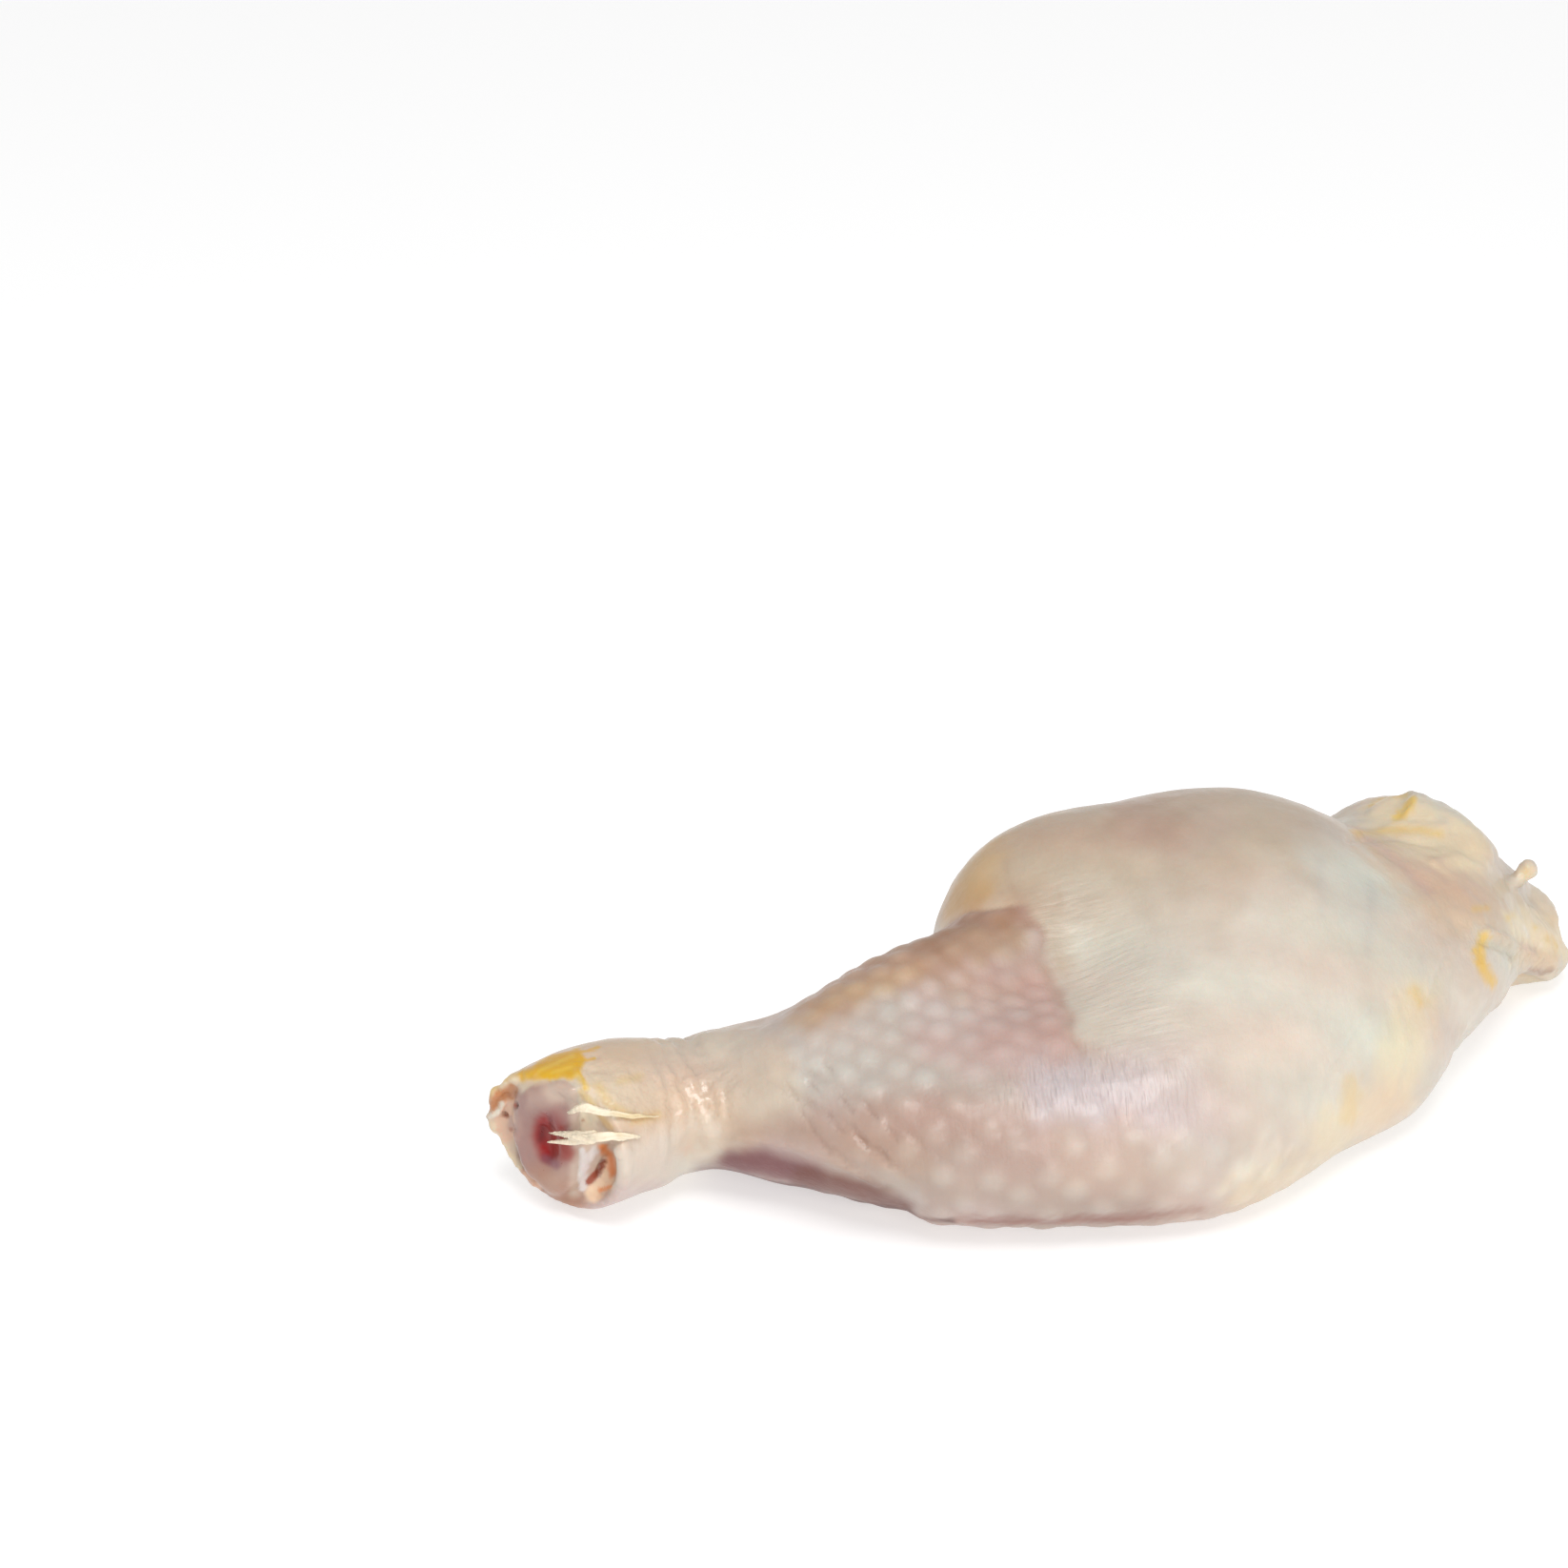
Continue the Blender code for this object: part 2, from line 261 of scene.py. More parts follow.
# %% Copies of the solids
def apply_modifiers(obj):
    """Turns what the modifiers make of the object into its plain mesh."""
    graph = bpy.context.evaluated_depsgraph_get()
    shown = obj.evaluated_get(graph)
    made = bpy.data.meshes.new_from_object(shown, preserve_all_data_layers=True, depsgraph=graph)
    obj.modifiers.clear()
    obj.data = made


def merged(node):
    """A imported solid's mesh, with its loose triangles merged into one surface."""
    bm = bmesh.new()
    bm.from_mesh(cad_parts[node].data)
    bmesh.ops.remove_doubles(bm, verts=bm.verts, dist=1e-6)
    mesh = bpy.data.meshes.new(node + "_merged")
    bm.to_mesh(mesh)
    bm.free()
    return mesh


def join(name, meshes):
    """One object from several meshes."""
    bm = bmesh.new()
    for mesh in meshes:
        bm.from_mesh(mesh)
    whole = bpy.data.meshes.new(name)
    bm.to_mesh(whole)
    bm.free()
    obj = new_object(name, whole)
    obj.data.shade_smooth()
    return obj


# %% Even small faces
SKIN_FACE = 0.0008
SHAFT_FACE = 0.0009
TENDON_FACE = 0.00022
SMOOTHING = 0.5


def add_smoothing(obj, rounds, group=""):
    """Adds a modifier that smooths the object that many rounds, or only the points of a group."""
    smooth = obj.modifiers.new("smooth", "SMOOTH")
    smooth.factor = SMOOTHING
    smooth.iterations = rounds
    smooth.vertex_group = group


def smooth_copy(nodes, name, face_size, rounds):
    """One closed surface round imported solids, in even small faces, smoothed that many rounds."""
    obj = join(name, [merged(node) for node in nodes])
    divide = obj.modifiers.new("divide", "SUBSURF")
    divide.levels = divide.render_levels = 1
    remesh = obj.modifiers.new("even faces", "REMESH")
    remesh.mode = "VOXEL"
    remesh.voxel_size = face_size
    add_smoothing(obj, rounds)
    apply_modifiers(obj)
    obj.data.shade_smooth()
    return obj


# %% Dividing and softening near a place
SOFTEN_EDGE = 4


def divide_near(obj, middle, reach):
    """Cuts the faces within reach of the place into four."""
    near = np.linalg.norm(points_of(obj) - middle, axis=1) < reach
    bm = bmesh.new()
    bm.from_mesh(obj.data)
    bm.verts.ensure_lookup_table()
    edges = [e for e in bm.edges if near[e.verts[0].index] and near[e.verts[1].index]]
    bmesh.ops.subdivide_edges(bm, edges=edges, cuts=1, use_grid_fill=True)
    bm.to_mesh(obj.data)
    bm.free()
    obj.data.shade_smooth()


def soften_near(obj, middle, reach, rounds):
    """Smooths the surface within reach of the place."""
    near = np.clip((reach - np.linalg.norm(points_of(obj) - middle, axis=1)) / SOFTEN_EDGE, 0, 1)
    group = obj.vertex_groups.new(name="near")
    for i in np.flatnonzero(near):
        group.add([int(i)], float(near[i]), "REPLACE")
    add_smoothing(obj, rounds, group.name)
    apply_modifiers(obj)
    obj.vertex_groups.clear()


# %% Filling grooves
def directions(obj):
    """The direction that the surface faces at each point."""
    flat = np.empty(len(obj.data.vertices) * 3, np.float32)
    obj.data.vertices.foreach_get("normal", flat)
    return flat.reshape(-1, 3).astype(float)


def fill_hollows(obj, middle, reach, rounds):
    """Raises only what lies lower than the smoothed surface, so that grooves close and bulges stay."""
    before = points_of(obj)
    facing = directions(obj)
    soften_near(obj, middle, reach, rounds)
    lift = np.maximum(np.einsum("ij,ij->i", points_of(obj) - before, facing), 0)
    set_points(obj, before + lift[:, None] * facing)


def triangles(obj):
    """How many triangles the object's faces make."""
    return sum(len(face.vertices) - 2 for face in obj.data.polygons)


# %% The surface of leg and bone
CUT_MIDDLE = np.array((-2.4, -3.3, 15.5))
CUT_AHEAD = np.array((0.852, 0.512, 0.105))
CUT_REACH = 17
CUT_CORE = 15
SOFT_SPOTS = [((608, 1158), 10, 240), ((620, 1180), 7, 120), ((1490, 920), 16, 30)]
skin = smooth_copy(["leg", "bone"], "skin", SKIN_FACE, 3)
divide_near(skin, CUT_MIDDLE, CUT_REACH)
soften_near(skin, CUT_MIDDLE, CUT_CORE, 8)
fill_hollows(skin, CUT_MIDDLE, CUT_REACH, 60)
soften_near(skin, CUT_MIDDLE, CUT_CORE, 6)
for spot, reach, rounds in SOFT_SPOTS:
    soften_near(skin, seen(*spot), reach, rounds)
print("the surface has", triangles(skin), "triangles")

# %% [markdown]
# ## A brush
#
# Real skin changes from place to place: yellow over fat, pink over thin meat, grey over thick meat. A
# painter would block this in with a soft brush, and so does this script. A stroke is a line through a few
# places with a radius and a soft edge. `cover` says how strongly a stroke covers each point of the mesh,
# and `wobble` is a seeded smooth unevenness that makes its edge ragged. The same brush paints colours and
# the masks that steer the relief. A stroke given by spots of the picture is as wide there as its radius
# says, also where the surface slants away.

# %% Soft edges and unevenness
def eased(values):
    """Values cut to 0 to 1 and eased at both ends."""
    t = np.clip(values, 0, 1)
    return t * t * (3 - 2 * t)


def ramp(values, start, end):
    """0 at the start, 1 at the end, and eased between them."""
    return eased((values - start) / (end - start))


def wobble(points, size, seed, waves=7):
    """Smooth unevenness from about -1 to 1, in lumps of about that size in millimetres."""
    rng = np.random.default_rng(seed)
    total = np.zeros(len(points))
    for _ in range(waves):
        way = rng.normal(size=3)
        way *= math.pi * rng.uniform(0.6, 1.4) / (size * np.linalg.norm(way))
        total += np.sin(points @ way + rng.uniform(0, 2 * math.pi))
    return total / math.sqrt(waves)


# %% Strokes
PIXELS_A_MM = 4.57
SLANTED_SHARE = 0.55


def distance_to_line(points, line):
    """How far each point is from a line through the places, or from the place if there is one."""
    if len(line) == 1:
        return np.linalg.norm(points - line[0], axis=1)
    nearest = np.full(len(points), np.inf)
    for a, b in zip(line, line[1:]):
        along = np.clip((points - a) @ (b - a) / ((b - a) @ (b - a)), 0, 1)
        nearest = np.minimum(nearest, np.linalg.norm(points - a - along[:, None] * (b - a), axis=1))
    return nearest


def cover(points, places, radius, soft, ragged=0.0):
    """How strongly a stroke covers each point: 1 well inside its radius, 0 outside its soft edge."""
    drawn = len(places[0]) == 2
    line = [seen(*p) if drawn else np.array(p, float) for p in places]
    distance = distance_to_line(points, line)
    if drawn:
        spots = [np.array(p, float) for p in places]
        in_picture = distance_to_line(spots_of(points), spots) / PIXELS_A_MM
        distance = np.maximum(in_picture, SLANTED_SHARE * distance)
    own_seed = int(abs(line[0]).sum() * 10)
    distance += ragged * wobble(points, max(radius * 0.5, 0.9), own_seed)
    return ramp(distance, radius + soft / 2, radius - soft / 2)


def covered(points, strokes):
    """The sum of strokes, each of a strength, a radius, a soft edge and its places."""
    total = np.zeros(len(points))
    for strength, radius, soft, places in strokes:
        total += strength * cover(points, places, radius, soft)
    return total


# %% Numbers kept on the mesh
def keep(obj, name, values):
    """Stores one number for each point of the mesh, for the node trees to read."""
    attribute = obj.data.attributes.get(name) or obj.data.attributes.new(name, "FLOAT", "POINT")
    attribute.data.foreach_set("value", np.asarray(values, np.float32))


def kept(obj, name):
    """The numbers stored under that name."""
    values = np.empty(len(obj.data.vertices), np.float32)
    obj.data.attributes[name].data.foreach_get("value", values)
    return values.astype(float)


print("the brush is ready")

# %% [markdown]
# ## Where the follicles are
#
# Feathers grow in rings round the drumstick, each ring shifted by half a step, so the follicles form a
# diamond pattern. Both the rings and the steps widen as the leg thickens. `lattice` gives each place a
# ring number and a step number, with decimals in between. The follicles themselves are found by lines
# shot at the skin from outside, where both numbers fit, and each is left slightly out of place, because
# no two feathers grow alike.

# %% Rings and steps
AXIS_START = np.array((22.0, 1.0, 14.0))
AXIS_END = np.array((118.0, -30.0, 20.0))
FIRST_STEP = 3.8
STEP_GROWTH = 0.06
RINGS = 26
AROUND = 24
JITTER = 0.13
WELL_OUTSIDE = 0.09

axis = (AXIS_END - AXIS_START) / np.linalg.norm(AXIS_END - AXIS_START)
axis_side = np.cross((0, 0, 1), axis) / np.linalg.norm(np.cross((0, 0, 1), axis))
axis_up = np.cross(axis, axis_side)


def lattice(points):
    """The ring number and the step number of each point, both with decimals."""
    along = np.maximum((points - AXIS_START) @ axis, -20)
    rings = (np.sqrt(FIRST_STEP**2 + 2 * STEP_GROWTH * along) - FIRST_STEP) / STEP_GROWTH
    angle = np.arctan2((points - AXIS_START) @ axis_up, (points - AXIS_START) @ axis_side)
    return rings, angle * AROUND / (2 * math.pi)


def follicle_places():
    """Where the follicles are on the skin, ring by ring, each slightly out of place."""
    rng = np.random.default_rng(11)
    outside = tree_of("leg")
    found = []
    for ring in range(-1, RINGS):
        for step in range(AROUND):
            stray = rng.uniform(-JITTER, JITTER, 2)
            angle = 2 * math.pi * (step + 0.5 * (ring % 2) + stray[0]) / AROUND
            middle = AXIS_START + axis * (FIRST_STEP * (ring + stray[1]) + STEP_GROWTH * ring**2 / 2)
            way = Vector(axis_side * math.cos(angle) + axis_up * math.sin(angle))
            hit = outside.ray_cast(at(*middle) + way * WELL_OUTSIDE, -way)[0]
            if hit is not None:
                found.append(hit)
    return found


follicles = bpy.data.objects.new("follicle_places", bpy.data.meshes.new("follicle_places"))
follicles.data.from_pydata(follicle_places(), [], [])
print("follicles:", len(follicles.data.vertices))

# %% [markdown]
# ## Masks
#
# A mask is a number from 0 to 1 on each point that says where something happens. The crease at the knee
# ends the feathered skin: it is sharp on top of the leg and fades out down the calf. It runs nearly
# straight across, so a few places give how far up the leg it lies for each distance across. The bone's
# cap is as wide as a stroke down the cut, as the picture shows it, and ends a little behind the cut. The
# other masks are strokes of the brush, each with a strength, a radius, a soft edge and its places. The
# edge of the feathered skin has three widths: on top, what is added beside, and what is added low down.

# %% Where the masks are
UNDER_NECK = [(765, 1216), (800, 1222), (850, 1234), (900, 1250), (940, 1264)]
CREASE_ACROSS = (-56, -44, -37, -28, -18, -9, -4.2, -2.7, -0.8, 1.4, 5, 8, 20)
CREASE_ALONG = (82, 78.3, 79.3, 82.0, 85.1, 86.6, 86.4, 84.3, 81.7, 79.2, 77, 75, 73)
EDGE_ON_TOP = 2.6
EDGE_BESIDE = 2.6
EDGE_BELOW = 24
FOLDED = [(0.8, 6, 12, [(845, 1140), (885, 1180), (930, 1220)])]
RINGED = [(1.0, 7, 8, [(718, 1100), (728, 1190)]), (0.5, 12, 10, [(22, 14, 12)])]
LUMPY = [
    (1.0, 7, 8, [(625, 1140), (700, 1155), (750, 1150)]), (0.4, 14, 10, [(10, 10, 14)]),
    (0.8, 5, 5, [(1555, 990), (1620, 1005)]), (0.3, 20, 20, [(180, 10, 14)]),
]
UNFEATHERED = [(0.6, 8, 12, [(1090, 1140), (1230, 1150)])]

# %% The outline of the cap
CAP_LINE = np.array([(575.0, 1168.0), (576.0, 1233.0)])
CAP_RADIUS = 33
CAP_LOBE = np.array([(588.0, 1152.0)])
CAP_LOBE_RADIUS = 18
CAP_DEPTH = 4.5


def inside_cap(points):
    """How far inside the outline of the bone's cap each point is, in millimetres, negative outside."""
    spots = spots_of(points)
    inside = CAP_RADIUS - distance_to_line(spots, CAP_LINE)
    inside = np.maximum(inside, CAP_LOBE_RADIUS - distance_to_line(spots, CAP_LOBE))
    return np.minimum(inside / PIXELS_A_MM, CAP_DEPTH - (points - CUT_MIDDLE) @ CUT_AHEAD)


# %% The crease and the feathered skin
def past_crease(points):
    """How far each point is up the leg from the crease, negative on the drumstick."""
    crease = np.interp(points[:, 1], CREASE_ACROSS, CREASE_ALONG)
    return points[:, 0] - crease + 0.5 * wobble(points, 4, seed=5)


def on_drumstick(points):
    """1 on the drumstick and 0 on the thigh, with an edge sharp on top and soft down both sides."""
    across = points[:, 1]
    low = np.maximum(ramp(across, -34, -48), 0.5 * ramp(across, 4, 16))
    width = EDGE_ON_TOP + EDGE_BESIDE * ramp(across, -8, -20) + EDGE_BELOW * low
    return eased(0.5 - (past_crease(points) - 0.4 * width * low) / width)


def feathers(points, along):
    """Where follicles show: on the drumstick, but not on stretched skin or under the neck."""
    x, y, z = points.T
    below = ramp(z, 34, 20) * ramp(x, 128, 94) * ramp(y, -20, -35)
    stretched = 1 - covered(points, UNFEATHERED)
    shaded = 1 - 0.9 * cover(points, UNDER_NECK, 6, 4)
    return ramp(along, 6, 42) * np.maximum(on_drumstick(points), 0.75 * below) * stretched * shaded


# %% Masks for the relief
def mask_skin(obj):
    """Stores the masks that steer the skin's relief."""
    points = points_of(obj)
    x, y, z = points.T
    rings, steps = lattice(points)
    along = (points - AXIS_START) @ axis
    feathered = feathers(points, along)
    keep(obj, "feathered", feathered)
    keep(obj, "dot_radius", 2.0 + 0.9 * ramp(along, 0, 60))
    keep(obj, "diagonal", steps - rings / 2)
    keep(obj, "folded", 0.1 * feathered + covered(points, FOLDED))
    keep(obj, "ringed", covered(points, RINGED))
    keep(obj, "lumpy", covered(points, LUMPY))
    keep(obj, "ruffled", ramp(x, 140, 164))
    groove = np.exp(-(past_crease(points) ** 2))
    keep(obj, "creased", groove * ramp(y, -46, -36) * ramp(z, 15, 25))
    from_cut = points - CUT_MIDDLE
    on_cut = ramp(np.abs(from_cut @ CUT_AHEAD), 5, 3) * ramp(np.linalg.norm(from_cut, axis=1), 15, 12)
    keep(obj, "torn", on_cut * ramp(inside_cap(points), 0.5, -0.5))


mask_skin(skin)
print("masks:", [a.name for a in skin.data.attributes if a.data_type == "FLOAT"])

# %% [markdown]
# ## A helper for node trees
#
# Node trees are easier to read in code when a node, its settings and what feeds it are one call. `add`
# makes a node: the dictionary fills its sockets, with a value or with another node's output, and the
# keywords set its options. `compute` is the same for a Math node and gives back its output. The three
# materials get their names here, because the trees below hand them on, and their nodes at the end.

# %% Adding nodes
def add(tree, kind, inputs=None, **settings):
    """Adds a node, sets its options, and fills its sockets with values or links."""
    node = tree.nodes.new(kind)
    for option, value in settings.items():
        setattr(node, option, value)
    for socket, value in (inputs or {}).items():
        if isinstance(value, bpy.types.NodeSocket):
            tree.links.new(value, node.inputs[socket])
        else:
            node.inputs[socket].default_value = value
    return node


def compute(tree, operation, *values):
    """The output of a Math node that works on the values."""
    return add(tree, "ShaderNodeMath", dict(enumerate(values)), operation=operation).outputs[0]


# %% Trees and their inputs
def new_tree(name, kind, inputs, outputs):
    """A node group with named sockets. Returns the group, its input node and its output node."""
    tree = bpy.data.node_groups.new(name, kind)
    for socket_name, socket_kind, value in inputs:
        socket = tree.interface.new_socket(socket_name, in_out="INPUT", socket_type=socket_kind)
        if value is not None:
            socket.default_value = value
    for socket_name, socket_kind in outputs:
        tree.interface.new_socket(socket_name, in_out="OUTPUT", socket_type=socket_kind)
    return tree, tree.nodes.new("NodeGroupInput"), tree.nodes.new("NodeGroupOutput")


def finish_tree(tree, geometry, material, result):
    """Ends a Geometry Nodes tree: its copies become real, get the material and are given out."""
    whole = add(tree, "GeometryNodeRealizeInstances", {0: geometry}).outputs[0]
    dressed = add(tree, "GeometryNodeSetMaterial", {"Geometry": whole, "Material": material}).outputs[0]
    tree.links.new(dressed, result.inputs[0])
    return tree


def set_inputs(modifier, **values):
    """Sets a Geometry Nodes modifier's inputs, found by the names of the tree's sockets."""
    for item in modifier.node_group.interface.items_tree:
        name = item.name.lower().replace(" ", "_")
        if item.item_type == "SOCKET" and item.in_out == "INPUT" and name in values:
            modifier[item.identifier] = values[name]


FINISHES = {name: bpy.data.materials.new(name) for name in ("raw skin", "cartilage", "tendon")}
print("node helpers are ready, and the materials are named:", list(FINISHES))

# %% [markdown]
# ## The relief
#
# Everything that stands out from the skin is one Geometry Nodes tree, because every part of it follows
# the same surface: a dome at each follicle, soft folds between their rows, cross wrinkles and wet lumps
# on the shank, ruffles on the loose skin of the hip, torn tissue on the cut, and the groove of the
# crease. Each has a mask and a height. The tree adds them up and moves each point along its normal by the
# sum. It also stores the domes as `follicle` and the folds as `furrow`, which the colours use: each
# follicle is paler than the skin round it, and each fold is darkened with painted shade.

# %% Small helpers for the relief
def named(tree, name):
    """The number stored under that name on the mesh."""
    return add(tree, "GeometryNodeInputNamedAttribute", {"Name": name}, data_type="FLOAT").outputs[0]


def noise(tree, vector, size, detail=2.0):
    """Noise from about -1 to 1, in lumps of that size in metres."""
    scale = compute(tree, "DIVIDE", 1.0, size)
    fac = add(tree, "ShaderNodeTexNoise", {"Vector": vector, "Scale": scale, "Detail": detail}).outputs[0]
    return compute(tree, "MULTIPLY", compute(tree, "SUBTRACT", fac, 0.5), 3.0)


def product(tree, *values):
    """All the values multiplied together."""
    total = values[0]
    for value in values[1:]:
        total = compute(tree, "MULTIPLY", total, value)
    return total


def store(tree, geometry, name, value):
    """Stores a number on each point under that name."""
    inputs = {"Geometry": geometry, "Name": name, "Value": value}
    kind = "GeometryNodeStoreNamedAttribute"
    return add(tree, kind, inputs, data_type="FLOAT", domain="POINT").outputs[0]


# %% The relief tree
RELIEF_INPUTS = [
    ("Follicle height", 0.0), ("Furrow depth", 0.0), ("Wrinkle height", 0.0), ("Wrinkle spacing", 0.0033),
    ("Lump height", 0.0), ("Lump size", 0.0028), ("Ruffle height", 0.0), ("Ruffle size", 0.007),
    ("Torn height", 0.0), ("Torn size", 0.0016), ("Swell height", 0.0), ("Dimple height", 0.0),
    ("Crease depth", 0.0),
]


def follicle_domes(tree, places):
    """The soft domes at the follicles, from 0 to 1, and a number that makes each a little different."""
    points = add(tree, "GeometryNodeObjectInfo", {"Object": places}).outputs["Geometry"]
    near = add(tree, "GeometryNodeProximity", {0: points}, target_element="POINTS")
    far = compute(tree, "DIVIDE", near.outputs["Distance"], product(tree, named(tree, "dot_radius"), MM))
    edges = {"Value": far, "From Min": 1.15, "From Max": 0.1}
    dome = add(tree, "ShaderNodeMapRange", edges, interpolation_type="SMOOTHSTEP").outputs[0]
    own = compute(tree, "ADD", 1.0, product(tree, noise(tree, near.outputs["Position"], 0.012), 0.6))
    return product(tree, dome, named(tree, "feathered"), compute(tree, "MAXIMUM", own, 0.2))


def relief_tree():
    """The tree that raises everything that stands out from the skin."""
    inputs = [("Geometry", "NodeSocketGeometry", None), ("Follicles", "NodeSocketObject", None)]
    inputs += [("Material", "NodeSocketMaterial", None)]
    inputs += [(name, "NodeSocketFloat", value) for name, value in RELIEF_INPUTS]
    outputs = [("Geometry", "NodeSocketGeometry")]
    tree, given, result = new_tree("relief", "GeometryNodeTree", inputs, outputs)
    g = given.outputs
    here = add(tree, "GeometryNodeInputPosition").outputs[0]
    domes = follicle_domes(tree, g["Follicles"])

    warp = product(tree, noise(tree, here, 0.015), 0.16)
    diagonal = compute(tree, "ADD", named(tree, "diagonal"), warp)
    rows = compute(tree, "COSINE", product(tree, diagonal, math.tau))
    furrow = compute(tree, "POWER", compute(tree, "MULTIPLY_ADD", rows, -0.5, 0.5), 5.0)
    broken = compute(tree, "MAXIMUM", compute(tree, "ADD", noise(tree, here, 0.005), 0.5), 0.0)
    furrow = product(tree, furrow, broken, named(tree, "folded"))
    x = add(tree, "ShaderNodeSeparateXYZ", {0: here}).outputs["X"]
    bent = compute(tree, "ADD", x, product(tree, noise(tree, here, 0.008), 0.0014))
    turns = product(tree, compute(tree, "DIVIDE", bent, g["Wrinkle spacing"]), math.tau)
    crests = compute(tree, "ADD", compute(tree, "SINE", turns), noise(tree, here, 0.003))
    total = product(tree, domes, g["Follicle height"])
    for part in (
        product(tree, furrow, g["Furrow depth"], -1.0),
        product(tree, crests, named(tree, "ringed"), g["Wrinkle height"]),
        product(tree, noise(tree, here, g["Lump size"], 3.0), named(tree, "lumpy"), g["Lump height"]),
        product(tree, noise(tree, here, g["Ruffle size"], 3.0), named(tree, "ruffled"), g["Ruffle height"]),
        product(tree, noise(tree, here, g["Torn size"], 3.0), named(tree, "torn"), g["Torn height"]),
        product(tree, noise(tree, here, 0.018), g["Swell height"]),
        product(tree, noise(tree, here, 0.0045), g["Dimple height"]),
        product(tree, named(tree, "creased"), g["Crease depth"], -1.0),
    ):
        total = compute(tree, "ADD", total, part)
    normal = add(tree, "GeometryNodeInputNormal").outputs[0]
    offset = add(tree, "ShaderNodeVectorMath", {0: normal, "Scale": total}, operation="SCALE").outputs[0]
    stored = store(tree, store(tree, g["Geometry"], "follicle", domes), "furrow", furrow)
    moved = add(tree, "GeometryNodeSetPosition", {"Geometry": stored, "Offset": offset}).outputs[0]
    return finish_tree(tree, moved, g["Material"], result)


relief = relief_tree()


# %% Raising the skin
def raise_relief(obj, **heights):
    """Runs the relief tree on the object with those heights and keeps the result as its mesh."""
    modifier = obj.modifiers.new("relief", "NODES")
    modifier.node_group = relief
    set_inputs(modifier, follicles=follicles, material=FINISHES["raw skin"], **heights)
    apply_modifiers(obj)
    set_points(obj, points_of(obj))


raise_relief(
    skin, follicle_height=0.00034, furrow_depth=0.0009, wrinkle_height=0.00026, lump_height=0.0004,
    ruffle_height=0.00055, torn_height=0.0001, swell_height=0.00028, dimple_height=0.00006,
    crease_depth=0.0002,
)
domed = float((kept(skin, "follicle") > 0.5).mean())
print("the skin's follicles cover", round(domed, 3), "of its points")

# %% [markdown]
# ## Folds and hollows made one by one
#
# Some forms don't repeat: the three small holes in the tissue left of the cartilage, the slit beside it,
# the ragged lobe of torn flesh, the folds of the loose skin at the hip. Each is pressed in or raised
# along the skin's own normals with a stroke of the brush, as a sculptor does with a thumb. A stroke is a
# height, a radius, a soft edge and its places. The lobe is raised first and smoothed, and gets its holes
# and rim after that. The strokes that follow are aimed at the new shape.

# %% Pressing and raising
def press(obj, strokes):
    """Moves the points under each stroke along their normals."""
    points = points_of(obj)
    heights = np.zeros(len(points))
    for height, radius, soft, places in strokes:
        heights += height * cover(points, places, radius, soft, ragged=min(0.15 * radius, 0.2))
    set_points(obj, points + heights[:, None] * directions(obj))


# %% Forms of the cut
HOLES = [(541, 1160), (531, 1171), (537, 1186)]
SLIT_LINE = [(634, 1220), (628, 1231), (618, 1240)]
HOCK_SHAPES = [
    (-0.8, 1.6, 4.0, [(572, 1178), (574, 1208)]),
    (0.6, 1.2, 2.4, [(586, 1142), (600, 1146)]),
    (0.4, 1.5, 2.5, [(536, 1134)]),
    (1.5, 1.2, 4.0, [(521, 1147), (514, 1163), (519, 1182)]),
    (0.8, 2.0, 3.0, [(652, 1210), (650, 1240)]),
    (-0.6, 1.6, 2.0, [(641, 1206), (642, 1228), (630, 1248)]),
]
HOCK_DETAILS = [
    (-1.2, 0.5, 0.6, [HOLES[0]]), (-1.2, 0.6, 0.6, [HOLES[1]]), (-0.9, 0.7, 0.7, [HOLES[2]]),
    (-1.3, 0.7, 0.7, SLIT_LINE),
    (0.5, 0.5, 0.7, [(514, 1172), (524, 1168), (530, 1156)]),
    (-0.5, 0.7, 0.9, [(522, 1160), (532, 1150)]),
    (0.5, 0.5, 1.4, [(541, 1190), (549, 1216), (561, 1242)]),
]

# %% Forms of the neck
NECK_CREASES = [
    [(840, 1162), (854, 1186)], [(849, 1135), (864, 1152)], [(871, 1171), (886, 1189)],
    [(883, 1152), (895, 1167)], [(856, 1188), (871, 1208)], [(895, 1181), (911, 1204)],
    [(909, 1159), (921, 1174)], [(828, 1140), (838, 1155)], [(876, 1205), (892, 1224)],
    [(921, 1203), (936, 1222)], [(864, 1112), (876, 1128)], [(930, 1178), (942, 1195)],
]
NECK_FORMS = [
    (1.2, 3, 6, [(748, 1092), (775, 1086)]),
    (-1.5, 6, 8, [(735, 1226), (790, 1234), (850, 1248), (900, 1260), (935, 1268)]),
    (0.6, 1.0, 2.4, [(775, 1196), (830, 1202), (870, 1218), (920, 1246)]),
    (0.35, 0.7, 1.6, [(754, 1142), (756, 1165), (752, 1190)]),
    (0.5, 0.4, 1.0, [(722, 1124), (729, 1142)]),
    (0.5, 0.4, 1.0, [(736, 1130), (741, 1150), (748, 1162)]),
    (0.4, 0.4, 1.0, [(714, 1150), (720, 1168)]),
    (0.4, 0.4, 1.0, [(731, 1160), (737, 1180)]),
    (-0.35, 0.5, 1.2, [(761, 1148), (764, 1180)]),
]

